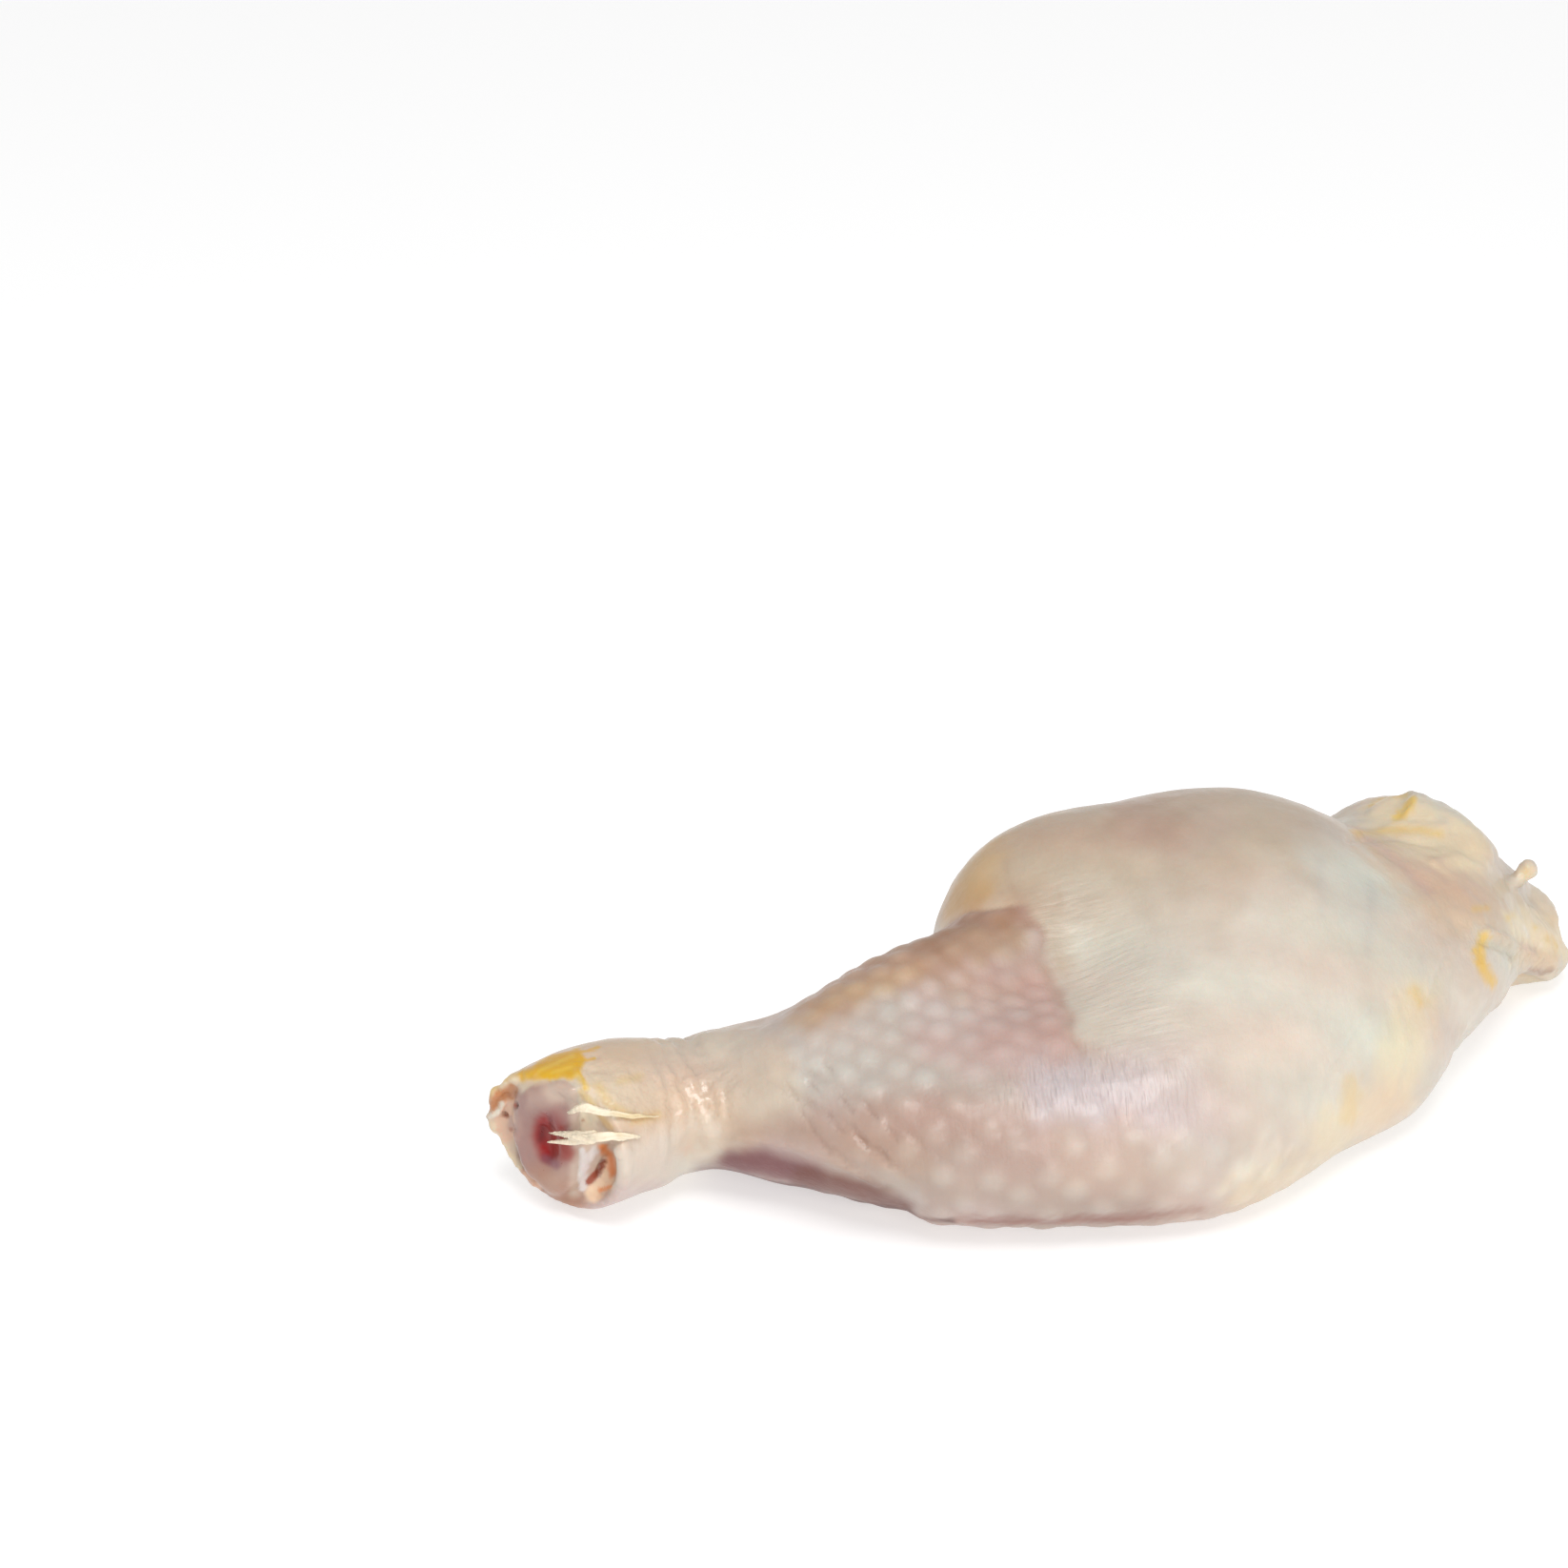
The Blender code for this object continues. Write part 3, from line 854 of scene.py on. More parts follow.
# %% Forms of the hip
HIP_FORMS = [
    (-0.5, 1.0, 4.0, [(1420, 872), (1450, 892), (1490, 925), (1530, 975)]),
    (1.8, 3.0, 5.0, [(1490, 846), (1530, 868), (1556, 892)]),
    (0.7, 0.8, 1.8, [(1420, 872), (1465, 866), (1514, 874)]),
    (-0.6, 0.6, 1.4, [(1416, 882), (1462, 879), (1508, 888)]),
    (0.6, 0.7, 1.4, [(1440, 852), (1460, 840), (1478, 838), (1484, 850), (1474, 862)]),
    (0.5, 0.8, 1.6, [(1505, 905), (1530, 900), (1560, 915)]),
    (0.9, 0.7, 1.6, [(1561, 978), (1578, 984), (1594, 996)]),
    (-0.8, 0.6, 1.4, [(1556, 988), (1574, 994), (1590, 1006)]),
    (0.6, 0.8, 1.6, [(1600, 1000), (1622, 1008), (1636, 1004)]),
    (1.1, 1.2, 1.4, [(1588, 927), (1598, 919)]),
    (-2.2, 2.5, 6, [(1616, 940), (1634, 960), (1650, 984)]),
    (1.0, 1.5, 3, [(1632, 1016)]),
    (-3.5, 2.6, 4.2, [(1592, 1042), (1605, 1038)]),
    (0.4, 1.0, 2.0, [(1462, 1050), (1475, 1100), (1460, 1150)]),
    (-0.5, 0.7, 2.0, [(1520, 1000), (1500, 1050), (1508, 1090)]),
    (-0.4, 0.7, 2.0, [(1386, 1170), (1400, 1120), (1440, 1060)]),
]

# %% All of them pressed and raised
LOBE_SPOT = (524, 1166)
LOBE_REACH = 9
press(skin, HOCK_SHAPES + NECK_FORMS + HIP_FORMS + [(-0.5, 0.25, 1.4, line) for line in NECK_CREASES])
lobe = seen(*LOBE_SPOT)
fill_hollows(skin, lobe, LOBE_REACH, 60)
soften_near(skin, lobe, LOBE_REACH, 8)
press(skin, HOCK_DETAILS)
# painted shade: the neck's creases are added to `furrow`, which darkens them in the colours
shade = covered(points_of(skin), [(0.8, 0.3, 1.1, line) for line in NECK_CREASES])
keep(skin, "furrow", kept(skin, "furrow") + shade)
target = tree_of_meshes([skin.data])
print("hand-made forms:", len(HOCK_SHAPES + HOCK_DETAILS + NECK_FORMS + HIP_FORMS + NECK_CREASES))

# %% [markdown]
# ## Colours
#
# The palette has the colours of raw poultry under neutral light: cream and grey skin, pink and mauve
# where the meat shows through, tan where the skin has dried, gold and pale yellow fat, and the reds of
# the cut. A few are painted light and shade instead: the shade under the neck, at the tip of the hip
# and on the thigh's top, the shadow where the leg meets the floor, the sheen on the calf and a paler
# patch that lifts the shade beside the cap. They are written as the eye sees them, from 0 to 255. The
# light on the leg is a fifth brighter than white paper would need, so each colour is divided by that
# after it is turned into the linear light that the renderer works in.

# %% The palette
LIGHT_LEVEL = 1.2


def colour(red, green, blue):
    """A colour given as it looks in this light, as the share of light that the surface gives back."""
    c = np.array((red, green, blue)) / 255
    return np.where(c <= 0.04045, c / 12.92, ((c + 0.055) / 1.055) ** 2.4) / LIGHT_LEVEL


CREAM = colour(208, 196, 180)
PEARL = colour(218, 207, 192)
STONE = colour(196, 190, 180)
# tan-grey that is partly the skin's own tone and partly painted shade where the thigh's top and the neck
# turn from the light
SHADED_SAND = colour(190, 169, 148)
KHAKI = colour(204, 164, 112)
TAN = colour(184, 155, 130)
BROWN = colour(158, 120, 90)
ROSE = colour(196, 164, 153)
MAUVE = colour(200, 179, 172)
BLUSH = colour(182, 162, 149)
# painted shade: purple-brown and brown for the shade under the neck and under the fold at the hip's tip
UNDERSHADE_PURPLE = colour(126, 80, 82)
UNDERSHADE_BROWN = colour(122, 76, 66)
CANARY = colour(230, 190, 76)
# painted sheen: the pale lavender of the calf's wet sheen, laid under the lamp's own highlight
SHEEN_LILAC = colour(200, 187, 187)
APRICOT = colour(208, 182, 156)
PEACH = colour(216, 192, 166)
PALE = colour(206, 190, 174)
GOLD = colour(220, 168, 30)
YELLOW = colour(222, 184, 96)
BUTTER = colour(226, 207, 174)
IVORY = colour(224, 214, 198)
# painted light: a cream paler than the skin, which lifts the shade of the recess right of the cap
CUFF_PAINTED_LIGHT = colour(236, 218, 190)
VEIN = colour(178, 170, 168)
CARTILAGE = colour(160, 124, 116)
CARTILAGE_PALE = colour(206, 184, 166)
CARTILAGE_WARM = colour(172, 126, 102)
BONE_WHITE = colour(230, 224, 220)
MARROW = colour(150, 0, 0)
MARROW_DARK = colour(96, 0, 4)
MARROW_GREY = colour(142, 66, 66)
RUST = colour(150, 52, 40)
PLUM = colour(136, 74, 84)
RAW = colour(240, 144, 74)
SALMON = colour(255, 224, 190)
TORN = colour(188, 120, 66)
FLESH = colour(226, 184, 158)
SLIT = colour(164, 78, 52)
# painted shadow for the dark lines where the leg meets the floor
CONTACT_SHADOW = colour(150, 98, 88)
CONTACT_SHADOW_DARK = colour(84, 36, 28)
# painted shade for the darker zone low on the neck
NECK_SHADE = colour(168, 140, 122)
print("cream in linear light:", CREAM.round(3))

# %% [markdown]
# Each stroke below has a colour, how strongly it covers, its radius and soft edge in millimetres, and the
# places it passes. Two numbers are a spot of the picture, and three are millimetres from the hock, on the
# sides that the picture doesn't show. Strokes are laid from broad to fine, as on a canvas.

# %% Strokes on the shank and the drumstick
SHANK_STROKES = [
    (PEACH, 0.95, 16, 12, [(560, 1130), (680, 1150), (740, 1150)]),
    (PEACH, 0.8, 18, 14, [(4, 12, 12), (24, 14, 10)]),
    (APRICOT, 0.8, 5, 7, [(640, 1100), (720, 1095)]),
    (CREAM, 0.5, 4, 6, [(712, 1098), (790, 1092)]),
    (APRICOT, 0.5, 2, 4, [(660, 1185), (700, 1175), (730, 1190)]),
    (PEARL, 0.9, 6, 7, [(650, 1220), (700, 1215), (740, 1205)]),
    (PALE, 0.5, 4, 6, [(690, 1120), (730, 1115)]),
    (CREAM, 0.7, 8, 9, [(775, 1110), (800, 1150)]),
    (YELLOW, 0.4, 1.0, 2.4, [(628, 1140), (640, 1160), (668, 1176), (690, 1171)]),
    (YELLOW, 0.35, 0.8, 2.0, [(650, 1135), (672, 1130)]),
    (PEACH, 0.6, 3, 6, [(722, 1200), (742, 1198)]),
    (FLESH, 0.5, 1.0, 1.6, [(722, 1207)]),
]
DRUMSTICK_STROKES = [
    (STONE, 0.9, 14, 16, [(840, 1110), (930, 1105), (990, 1130)]),
    (BLUSH, 0.8, 12, 14, [(900, 1200), (980, 1215), (1080, 1240), (1180, 1255)]),
    (BLUSH, 0.5, 18, 18, [(60, -20, 4), (100, -34, 4)]),
    (MAUVE, 0.7, 8, 10, [(990, 1085), (1060, 1090)]),
    (TAN, 0.9, 5, 9, [(856, 1055), (930, 1020), (1010, 995), (1062, 985)]),
    (TAN, 0.8, 16, 14, [(40, 14, 20), (70, 8, 26)]),
    (TAN, 0.5, 3, 5, [(1000, 1040), (1060, 1040), (1090, 1020)]),
    (BROWN, 0.7, 9, 12, [(64, 8, 26), (76, 8, 26)]),
    (BROWN, 0.8, 3, 9, [(975, 985), (1015, 968), (1062, 962)]),
    (BLUSH, 0.7, 6, 9, [(905, 1185), (1000, 1176), (1080, 1172), (1140, 1180)]),
    (TAN, 0.3, 5, 8, [(890, 1205), (960, 1215)]),
    (YELLOW, 0.14, 2.0, 4, [(830, 1075), (860, 1062), (885, 1045), (925, 1035), (960, 1022)]),
    (ROSE, 0.8, 5, 7, [(1085, 1035), (1105, 1070), (1118, 1100)]),
    (ROSE, 0.5, 6, 8, [(1040, 1050), (1060, 1075)]),
    (PALE, 0.5, 8, 10, [(1130, 1215), (1230, 1215)]),
    # painted sheen on the calf, then a painted contact shadow along its bottom edge
    (SHEEN_LILAC, 0.85, 7, 10, [(1110, 1145), (1180, 1140), (1240, 1150)]),
    (SHEEN_LILAC, 0.6, 7, 10, [(1225, 1150), (1275, 1178)]),
    (CONTACT_SHADOW, 0.8, 1.0, 2.5, [(850, 1255), (930, 1272), (1040, 1282), (1180, 1280), (1260, 1270)]),
]

# %% Strokes of painted shade under the neck and of painted shadow along its contact with the floor
UNDER_EDGE = [(742, 1231), (760, 1232), (800, 1239), (850, 1250), (900, 1261), (940, 1271)]
UNDER_STROKES = [
    (SHADED_SAND, 0.3, 4, 8, [(770, 1158), (795, 1140), (815, 1135), (825, 1165)]),
    (NECK_SHADE, 0.7, 3.0, 9, [(780, 1190), (820, 1184), (850, 1188)]),
    (UNDERSHADE_PURPLE, 0.8, 9, 8, [(34, -4, 1), (50, -12, 1)]),
    (UNDERSHADE_PURPLE, 0.95, 3.2, 4.2, [(770, 1222), (800, 1220), (850, 1236)]),
    (UNDERSHADE_PURPLE, 0.7, 1.4, 5.0, [(738, 1229), (765, 1218)]),
    (UNDERSHADE_BROWN, 0.9, 3.0, 3.2, [(845, 1238), (900, 1252), (945, 1268)]),
    (CONTACT_SHADOW_DARK, 0.9, 0.7, 2.0, UNDER_EDGE),
    (CONTACT_SHADOW_DARK, 0.8, 0.5, 1.6, [(940, 1271), (1000, 1282)]),
]

# %% Strokes on the thigh
THIGH_STROKES = [
    (KHAKI, 0.9, 9, 12, [(1000, 930), (1030, 915), (1065, 885)]),
    (APRICOT, 0.5, 8, 12, [(1080, 905), (1130, 880)]),
    (KHAKI, 0.6, 3, 6, [(1005, 900), (1040, 872), (1100, 848)]),
    # painted shade: these strokes darken the thigh's top, where it turns from the light
    (SHADED_SAND, 0.85, 10, 12, [(1100, 890), (1140, 870), (1250, 850), (1360, 870)]),
    (SHADED_SAND, 0.7, 9, 14, [(1180, 900), (1280, 890)]),
    (SHADED_SAND, 0.7, 22, 20, [(100, 20, 20), (130, 14, 30)]),
    (BROWN, 0.4, 5, 9, [(1190, 850), (1230, 870)]),
    (SHADED_SAND, 0.35, 6, 10, [(1130, 925), (1150, 950)]),
    (ROSE, 0.3, 5, 8, [(1195, 862), (1240, 880), (1275, 868)]),
    (PEARL, 0.85, 12, 15, [(1240, 1020), (1310, 1010), (1380, 1060)]),
    (PEARL, 0.6, 12, 15, [(1300, 1120), (1380, 1140)]),
    (PEARL, 0.65, 7, 12, [(1160, 1025), (1185, 1065), (1225, 1100)]),
    (STONE, 0.35, 8, 12, [(1216, 1100), (1255, 1165), (1330, 1165)]),
    (STONE, 0.5, 7, 9, [(1390, 900), (1430, 950)]),
    (VEIN, 0.2, 0.9, 2.4, [(1385, 900), (1388, 960)]),
    (VEIN, 0.2, 0.9, 2.4, [(1440, 930), (1436, 1000)]),
    (IVORY, 0.9, 3.0, 4, [(1302, 1238), (1320, 1220), (1335, 1208)]),
    (TAN, 0.5, 0.8, 2.2, [(1071, 945), (1060, 925), (1056, 905)]),
    (TAN, 0.65, 2.2, 7, [(1068, 940), (1082, 956), (1104, 988), (1114, 1012)]),
    # painted shade by the knee's crease and along the thigh's top outline, where the rim would look bright
    (SHADED_SAND, 0.7, 5, 9, [(1076, 925), (1108, 960)]),
    (SHADED_SAND, 0.25, 7, 10, [(1130, 945), (1200, 942), (1270, 955)]),
    (SHADED_SAND, 0.6, 1.5, 4, [(1000, 915), (1030, 878), (1070, 852), (1130, 832), (1240, 828)]),
]

# %% Strokes on the loose skin of the hip
HIP_STROKES = [
    (APRICOT, 0.85, 5.5, 7, [(1440, 885), (1480, 915), (1530, 960)]),
    (APRICOT, 0.75, 8, 8, [(1530, 930), (1575, 945)]),
    (ROSE, 0.5, 1.0, 3, [(1418, 868), (1450, 892), (1500, 935)]),
    (BUTTER, 0.8, 6, 7, [(1460, 855), (1510, 880), (1540, 890)]),
    (BUTTER, 0.7, 5, 7, [(1485, 1050), (1475, 1100), (1465, 1150), (1400, 1190)]),
    (BUTTER, 0.45, 5, 6, [(1310, 1255), (1360, 1240), (1400, 1215)]),
    (BUTTER, 0.9, 6, 5, [(1600, 985), (1630, 985)]),
    (BUTTER, 0.6, 14, 12, [(200, 6, 4)]),
    (BUTTER, 0.7, 6, 8, [(160, 22, 12), (180, 24, 8)]),
    (YELLOW, 0.45, 2, 4, [(150, 20, 24), (162, 24, 16)]),
    (ROSE, 0.4, 5, 8, [(172, 18, 20), (192, 14, 16)]),
    (APRICOT, 0.5, 2.0, 3, [(1575, 985), (1600, 1000), (1625, 1010)]),
    (CANARY, 0.8, 1.2, 1.8, [(1468, 858), (1478, 848), (1482, 840)]),
    (YELLOW, 0.7, 0.6, 1.4, [(1440, 846), (1452, 838), (1476, 834)]),
    (YELLOW, 0.6, 0.8, 2.0, [(1422, 874), (1450, 872), (1490, 871), (1512, 876)]),
    (YELLOW, 0.9, 1.3, 1.8, [(1558, 984), (1551, 1000), (1557, 1016), (1567, 1032)]),
    (CANARY, 0.4, 0.8, 1.4, [(1552, 998), (1557, 1014), (1564, 1028)]),
    (YELLOW, 0.5, 0.7, 1.4, [(1548, 954), (1562, 953)]),
    (YELLOW, 0.45, 1.2, 3, [(1484, 1040), (1492, 1052)]),
    (YELLOW, 0.35, 2.0, 3.0, [(1418, 1136), (1416, 1172)]),
    (BUTTER, 0.6, 2.5, 3.0, [(1602, 916)]),
    (YELLOW, 0.4, 1.2, 2.0, [(1602, 916)]),
    (YELLOW, 0.5, 0.7, 1.4, [(1582, 964), (1590, 960)]),
    (YELLOW, 0.5, 0.6, 1.2, [(1612, 974)]),
    (YELLOW, 0.45, 0.8, 1.6, [(1626, 984), (1634, 992)]),
    (IVORY, 0.7, 0.6, 1.0, [(1600, 974), (1604, 982)]),
    (IVORY, 0.7, 0.5, 1.0, [(1618, 992)]),
    (ROSE, 0.4, 0.6, 1.4, [(1596, 992), (1610, 998)]),
    (IVORY, 0.5, 4, 5, [(1540, 1060)]),
    # painted shade under the fold at the tip
    (UNDERSHADE_BROWN, 0.45, 0.6, 1.0, [(1608, 1018), (1618, 1021), (1628, 1019)]),
]

# %% Strokes on the cap of cartilage and round it
CAP_STROKES = [
    (CARTILAGE_WARM, 0.9, 5.0, 6, [(570, 1246), (592, 1256)]),
    (CARTILAGE_PALE, 0.75, 2.6, 3.2, [(582, 1144), (599, 1147)]),
    (CARTILAGE_PALE, 0.35, 2.4, 4, [(556, 1152), (575, 1150)]),
    (CARTILAGE_PALE, 0.25, 2.0, 4, [(582, 1240), (597, 1228)]),
    (CARTILAGE_PALE, 0.8, 1.2, 2.2, [(603, 1150), (605, 1200), (603, 1252)]),
    (MARROW_GREY, 0.85, 3.2, 3.6, [(579, 1184), (580, 1206)]),
    (MARROW, 0.95, 1.8, 3.2, [(571, 1178), (568, 1192), (575, 1208)]),
    (RUST, 0.85, 2.2, 3.0, [(584, 1192), (594, 1210)]),
    (MARROW_DARK, 0.85, 0.6, 2.2, [(570, 1184), (568, 1196)]),
    (MARROW_DARK, 0.5, 0.4, 0.8, [(577, 1172), (580, 1184)]),
    (PLUM, 0.8, 0.9, 1.4, [(572, 1216), (584, 1223)]),
]
HOCK_STROKES = [
    (FLESH, 0.85, 3.4, 2.0, [(528, 1156), (532, 1186)]),
    (BUTTER, 0.85, 1.0, 1.6, [(509, 1160), (512, 1180), (528, 1206), (544, 1224)]),
    (BUTTER, 0.9, 1.4, 1.6, [(518, 1142), (534, 1132), (546, 1128)]),
    (YELLOW, 0.7, 0.5, 1.2, [(511, 1158), (516, 1144), (528, 1133), (543, 1126)]),
    (TORN, 0.9, 1.6, 1.5, [(518, 1160), (528, 1150), (537, 1145)]),
    (IVORY, 0.95, 0.6, 0.6, [(512, 1173), (521, 1169), (527, 1158)]),
    (ROSE, 0.8, 1.1, 1.4, [(538, 1176), (540, 1196)]),
    (CARTILAGE, 0.8, 1.6, 1.6, [(545, 1152), (546, 1212)]),
    (FLESH, 0.8, 1.0, 1.4, [(552, 1232), (564, 1246)]),
    (SLIT, 0.75, 0.5, 0.6, [HOLES[0]]),
    (SLIT, 0.75, 0.5, 0.6, [HOLES[1]]),
    (SLIT, 0.6, 0.6, 0.8, [HOLES[2]]),
    (GOLD, 0.95, 2.8, 1.8, [(575, 1120), (588, 1116), (600, 1114)]),
    (GOLD, 0.9, 1.2, 1.4, [(549, 1130), (562, 1123), (578, 1110)]),
    (GOLD, 0.8, 0.8, 1.4, [(605, 1102), (607, 1126)]),
    (GOLD, 0.8, 0.35, 0.5, [(608, 1104), (618, 1103), (628, 1099)]),
    (GOLD, 0.8, 0.35, 0.5, [(608, 1112), (616, 1113), (624, 1111)]),
    (GOLD, 0.8, 0.35, 0.5, [(606, 1124), (612, 1132), (614, 1142)]),
    (GOLD, 0.8, 1.0, 1.2, [(560, 1130), (580, 1128), (600, 1128)]),
    (CANARY, 0.7, 0.4, 0.8, [(566, 1124), (584, 1116), (602, 1108)]),
    (CANARY, 0.6, 0.4, 0.8, [(580, 1126), (600, 1120)]),
    (YELLOW, 0.7, 0.7, 1.2, [(606, 1130), (616, 1142)]),
    (APRICOT, 0.7, 0.5, 0.8, [(546, 1139), (562, 1138), (574, 1135)]),
    # painted light that lifts the shade in the recess between the tendons
    (CUFF_PAINTED_LIGHT, 0.85, 1.9, 1.6, [(618, 1164), (618, 1186)]),
    (YELLOW, 0.45, 0.7, 1.2, [(610, 1146), (622, 1160), (640, 1184)]),
    (BONE_WHITE, 0.95, 0.9, 0.9, [(624, 1208), (615, 1218), (611, 1238)]),
    (BONE_WHITE, 0.95, 0.8, 0.8, [(612, 1208), (612, 1246)]),
    (SALMON, 0.9, 1.8, 1.4, [(640, 1222), (636, 1240), (622, 1254)]),
    (RAW, 0.9, 0.9, 1.4, [(632, 1204), (641, 1213), (643, 1232)]),
    (RAW, 0.8, 0.5, 0.7, [(630, 1249), (640, 1246)]),
    (SLIT, 0.95, 0.8, 0.5, SLIT_LINE),
    (SLIT, 0.6, 0.35, 0.6, [(612, 1176)]),
]


# %% Laying colours
def lay(points, tint, strokes, ragged=0.22):
    """Lays the strokes over the points' colours."""
    for hue, strength, radius, soft, places in strokes:
        weight = strength * cover(points, places, radius, soft, ragged=ragged * min(radius, soft))
        tint = tint + weight[:, None] * (hue - tint)
    return tint


def cut_colours(points, tint):
    """The colours of the cut: the cap of cartilage first, then the strokes on it and round it."""
    cap = eased(0.5 + inside_cap(points) / 1.2)[:, None]
    tint = lay(points, tint + cap * (CARTILAGE - tint), CAP_STROKES, ragged=0.06)
    return lay(points, tint, HOCK_STROKES)


def keep_tint(obj, tint):
    """Stores the colour of each point for the materials."""
    attribute = obj.data.attributes.get("tint") or obj.data.attributes.new("tint", "FLOAT_COLOR", "POINT")
    rgba = np.column_stack([np.clip(tint, 0, 1), np.ones(len(tint))])
    attribute.data.foreach_set("color", rgba.astype(np.float32).ravel())


# %% Painting the skin
DOT_GLOW = 0.03
NET_SHADE = np.array((0.93, 0.86, 0.84))
CREASE_SHADE = np.array((0.86, 0.76, 0.72))
MOTTLE_SHADE = np.array((0.0, -0.045, -0.05))
MOTTLE_LIGHT = 0.025


def skin_tint(obj):
    """The skin's colours: the thigh, the drumstick up to the crease, the hip, the cut and the relief."""
    points = points_of(obj)
    tint = lay(points, np.tile(CREAM, (len(points), 1)), THIGH_STROKES)
    drumstick = lay(points, np.tile(MAUVE, (len(points), 1)), DRUMSTICK_STROKES + SHANK_STROKES)
    # the painted shade under the neck goes on last, over the shank's strokes
    drumstick = lay(points, drumstick, UNDER_STROKES, ragged=0.03)
    tint += on_drumstick(points)[:, None] * (drumstick - tint)
    tint = cut_colours(points, lay(points, tint, HIP_STROKES))
    dots = np.clip(kept(obj, "follicle"), 0, 1)
    between = np.clip(kept(obj, "feathered") - dots, 0, 1)
    tint *= 1 + DOT_GLOW * dots[:, None]
    tint *= 1 - (1 - NET_SHADE) * between[:, None]
    # painted shade in the crease at the knee and in the folds between the follicle rows
    dark = np.clip(0.8 * kept(obj, "creased") + 0.9 * kept(obj, "furrow"), 0, 1)
    tint *= 1 - (1 - CREASE_SHADE) * dark[:, None]
    tint = tint * (1 + MOTTLE_SHADE * wobble(points, 11, seed=21)[:, None])
    return tint * (1 + MOTTLE_LIGHT * wobble(points, 5, seed=22)[:, None])


keep_tint(skin, skin_tint(skin))
on_leg = SHANK_STROKES + DRUMSTICK_STROKES + UNDER_STROKES + THIGH_STROKES + HIP_STROKES
print("strokes on the leg and on the cut:", len(on_leg), len(CAP_STROKES + HOCK_STROKES))

# %% [markdown]
# ## Parting skin and bone
#
# Now the surface is parted along the outline of the cartilage. The cap becomes a shell of its own, whose
# edge dives under the skin, and the skin dives under the cap, so the two cross exactly along the outline
# and leave no gap. The cap is joined with a copy of the whole bone, which runs on inside the leg, where
# only a cut would show it.

# %% The cap of cartilage and the skin round it
SEAM_SLOPE = 0.22
SEAM_REACH = 1.6
CAP_SHELL = 0.0012
SHAFT_TUCK = 1.6


def tuck(obj, depths):
    """Moves the object's points inwards by the depths, in millimetres."""
    set_points(obj, points_of(obj) - depths[:, None] * directions(obj))


def cap_shell(whole):
    """The surface inside the cap's outline, as a closed shell that dives under at its edge."""
    inside = inside_cap(points_of(whole))
    shell = join("cap", [whole.data])
    tuck(shell, SEAM_SLOPE * np.clip(-inside, 0, SEAM_REACH))
    bm = bmesh.new()
    bm.from_mesh(shell.data)
    beyond = [v for v, i in zip(bm.verts, inside) if i < -SEAM_REACH]
    bmesh.ops.delete(bm, geom=beyond, context="VERTS")
    bm.to_mesh(shell.data)
    bm.free()
    thicken = shell.modifiers.new("thicken", "SOLIDIFY")
    thicken.thickness = CAP_SHELL
    thicken.offset = -1
    apply_modifiers(shell)
    return shell


cap = cap_shell(skin)
tuck(skin, SEAM_SLOPE * np.clip(inside_cap(points_of(skin)), 0, SEAM_REACH))
shaft = smooth_copy(["bone"], "shaft", SHAFT_FACE, 2)
tuck(shaft, SHAFT_TUCK * ramp((points_of(shaft) - CUT_MIDDLE) @ CUT_AHEAD, 14, 10))
bone = join("bone_end", [cap.data, shaft.data])
for piece in (cap, shaft):
    bpy.data.objects.remove(piece)
bone_points = points_of(bone)
keep_tint(bone, cut_colours(bone_points, np.tile(PEACH, (len(bone_points), 1))))
print("triangles of skin and bone:", triangles(skin), triangles(bone))

# %% [markdown]
# ## Tendons
#
# Two torn tendons hang out of the cut: pale, flat bundles of long fibres that end in points. Each is a
# smooth copy of its solid with grooves along its length, plus a few loose fibres. The fibres all follow
# one path with small strays, so a Geometry Nodes tree makes them: it copies the path, bends each copy its
# own way and gives it a skin.

# %% The tendons' paths, in millimetres from the hock
TENDON_PATHS = {
    "tendon_upper": [(-2, -9, 24), (0, -11, 25), (4, -13, 24.5), (8, -13, 23), (13, -12, 21.5)],
    "tendon_lower": [
        (-4.2, -5.6, 19), (-1.1, -10.2, 20.2), (1, -12.6, 20.6), (5, -14.6, 20.8), (9, -15, 20),
    ],
}

# %% The tree of the fibres
FIBRE_INPUTS = [
    ("Fibres", "NodeSocketInt", 6), ("Thickness", "NodeSocketFloat", 0.00016),
    ("Stray", "NodeSocketFloat", 0.0006), ("Seed", "NodeSocketInt", 1),
    ("Material", "NodeSocketMaterial", None),
]


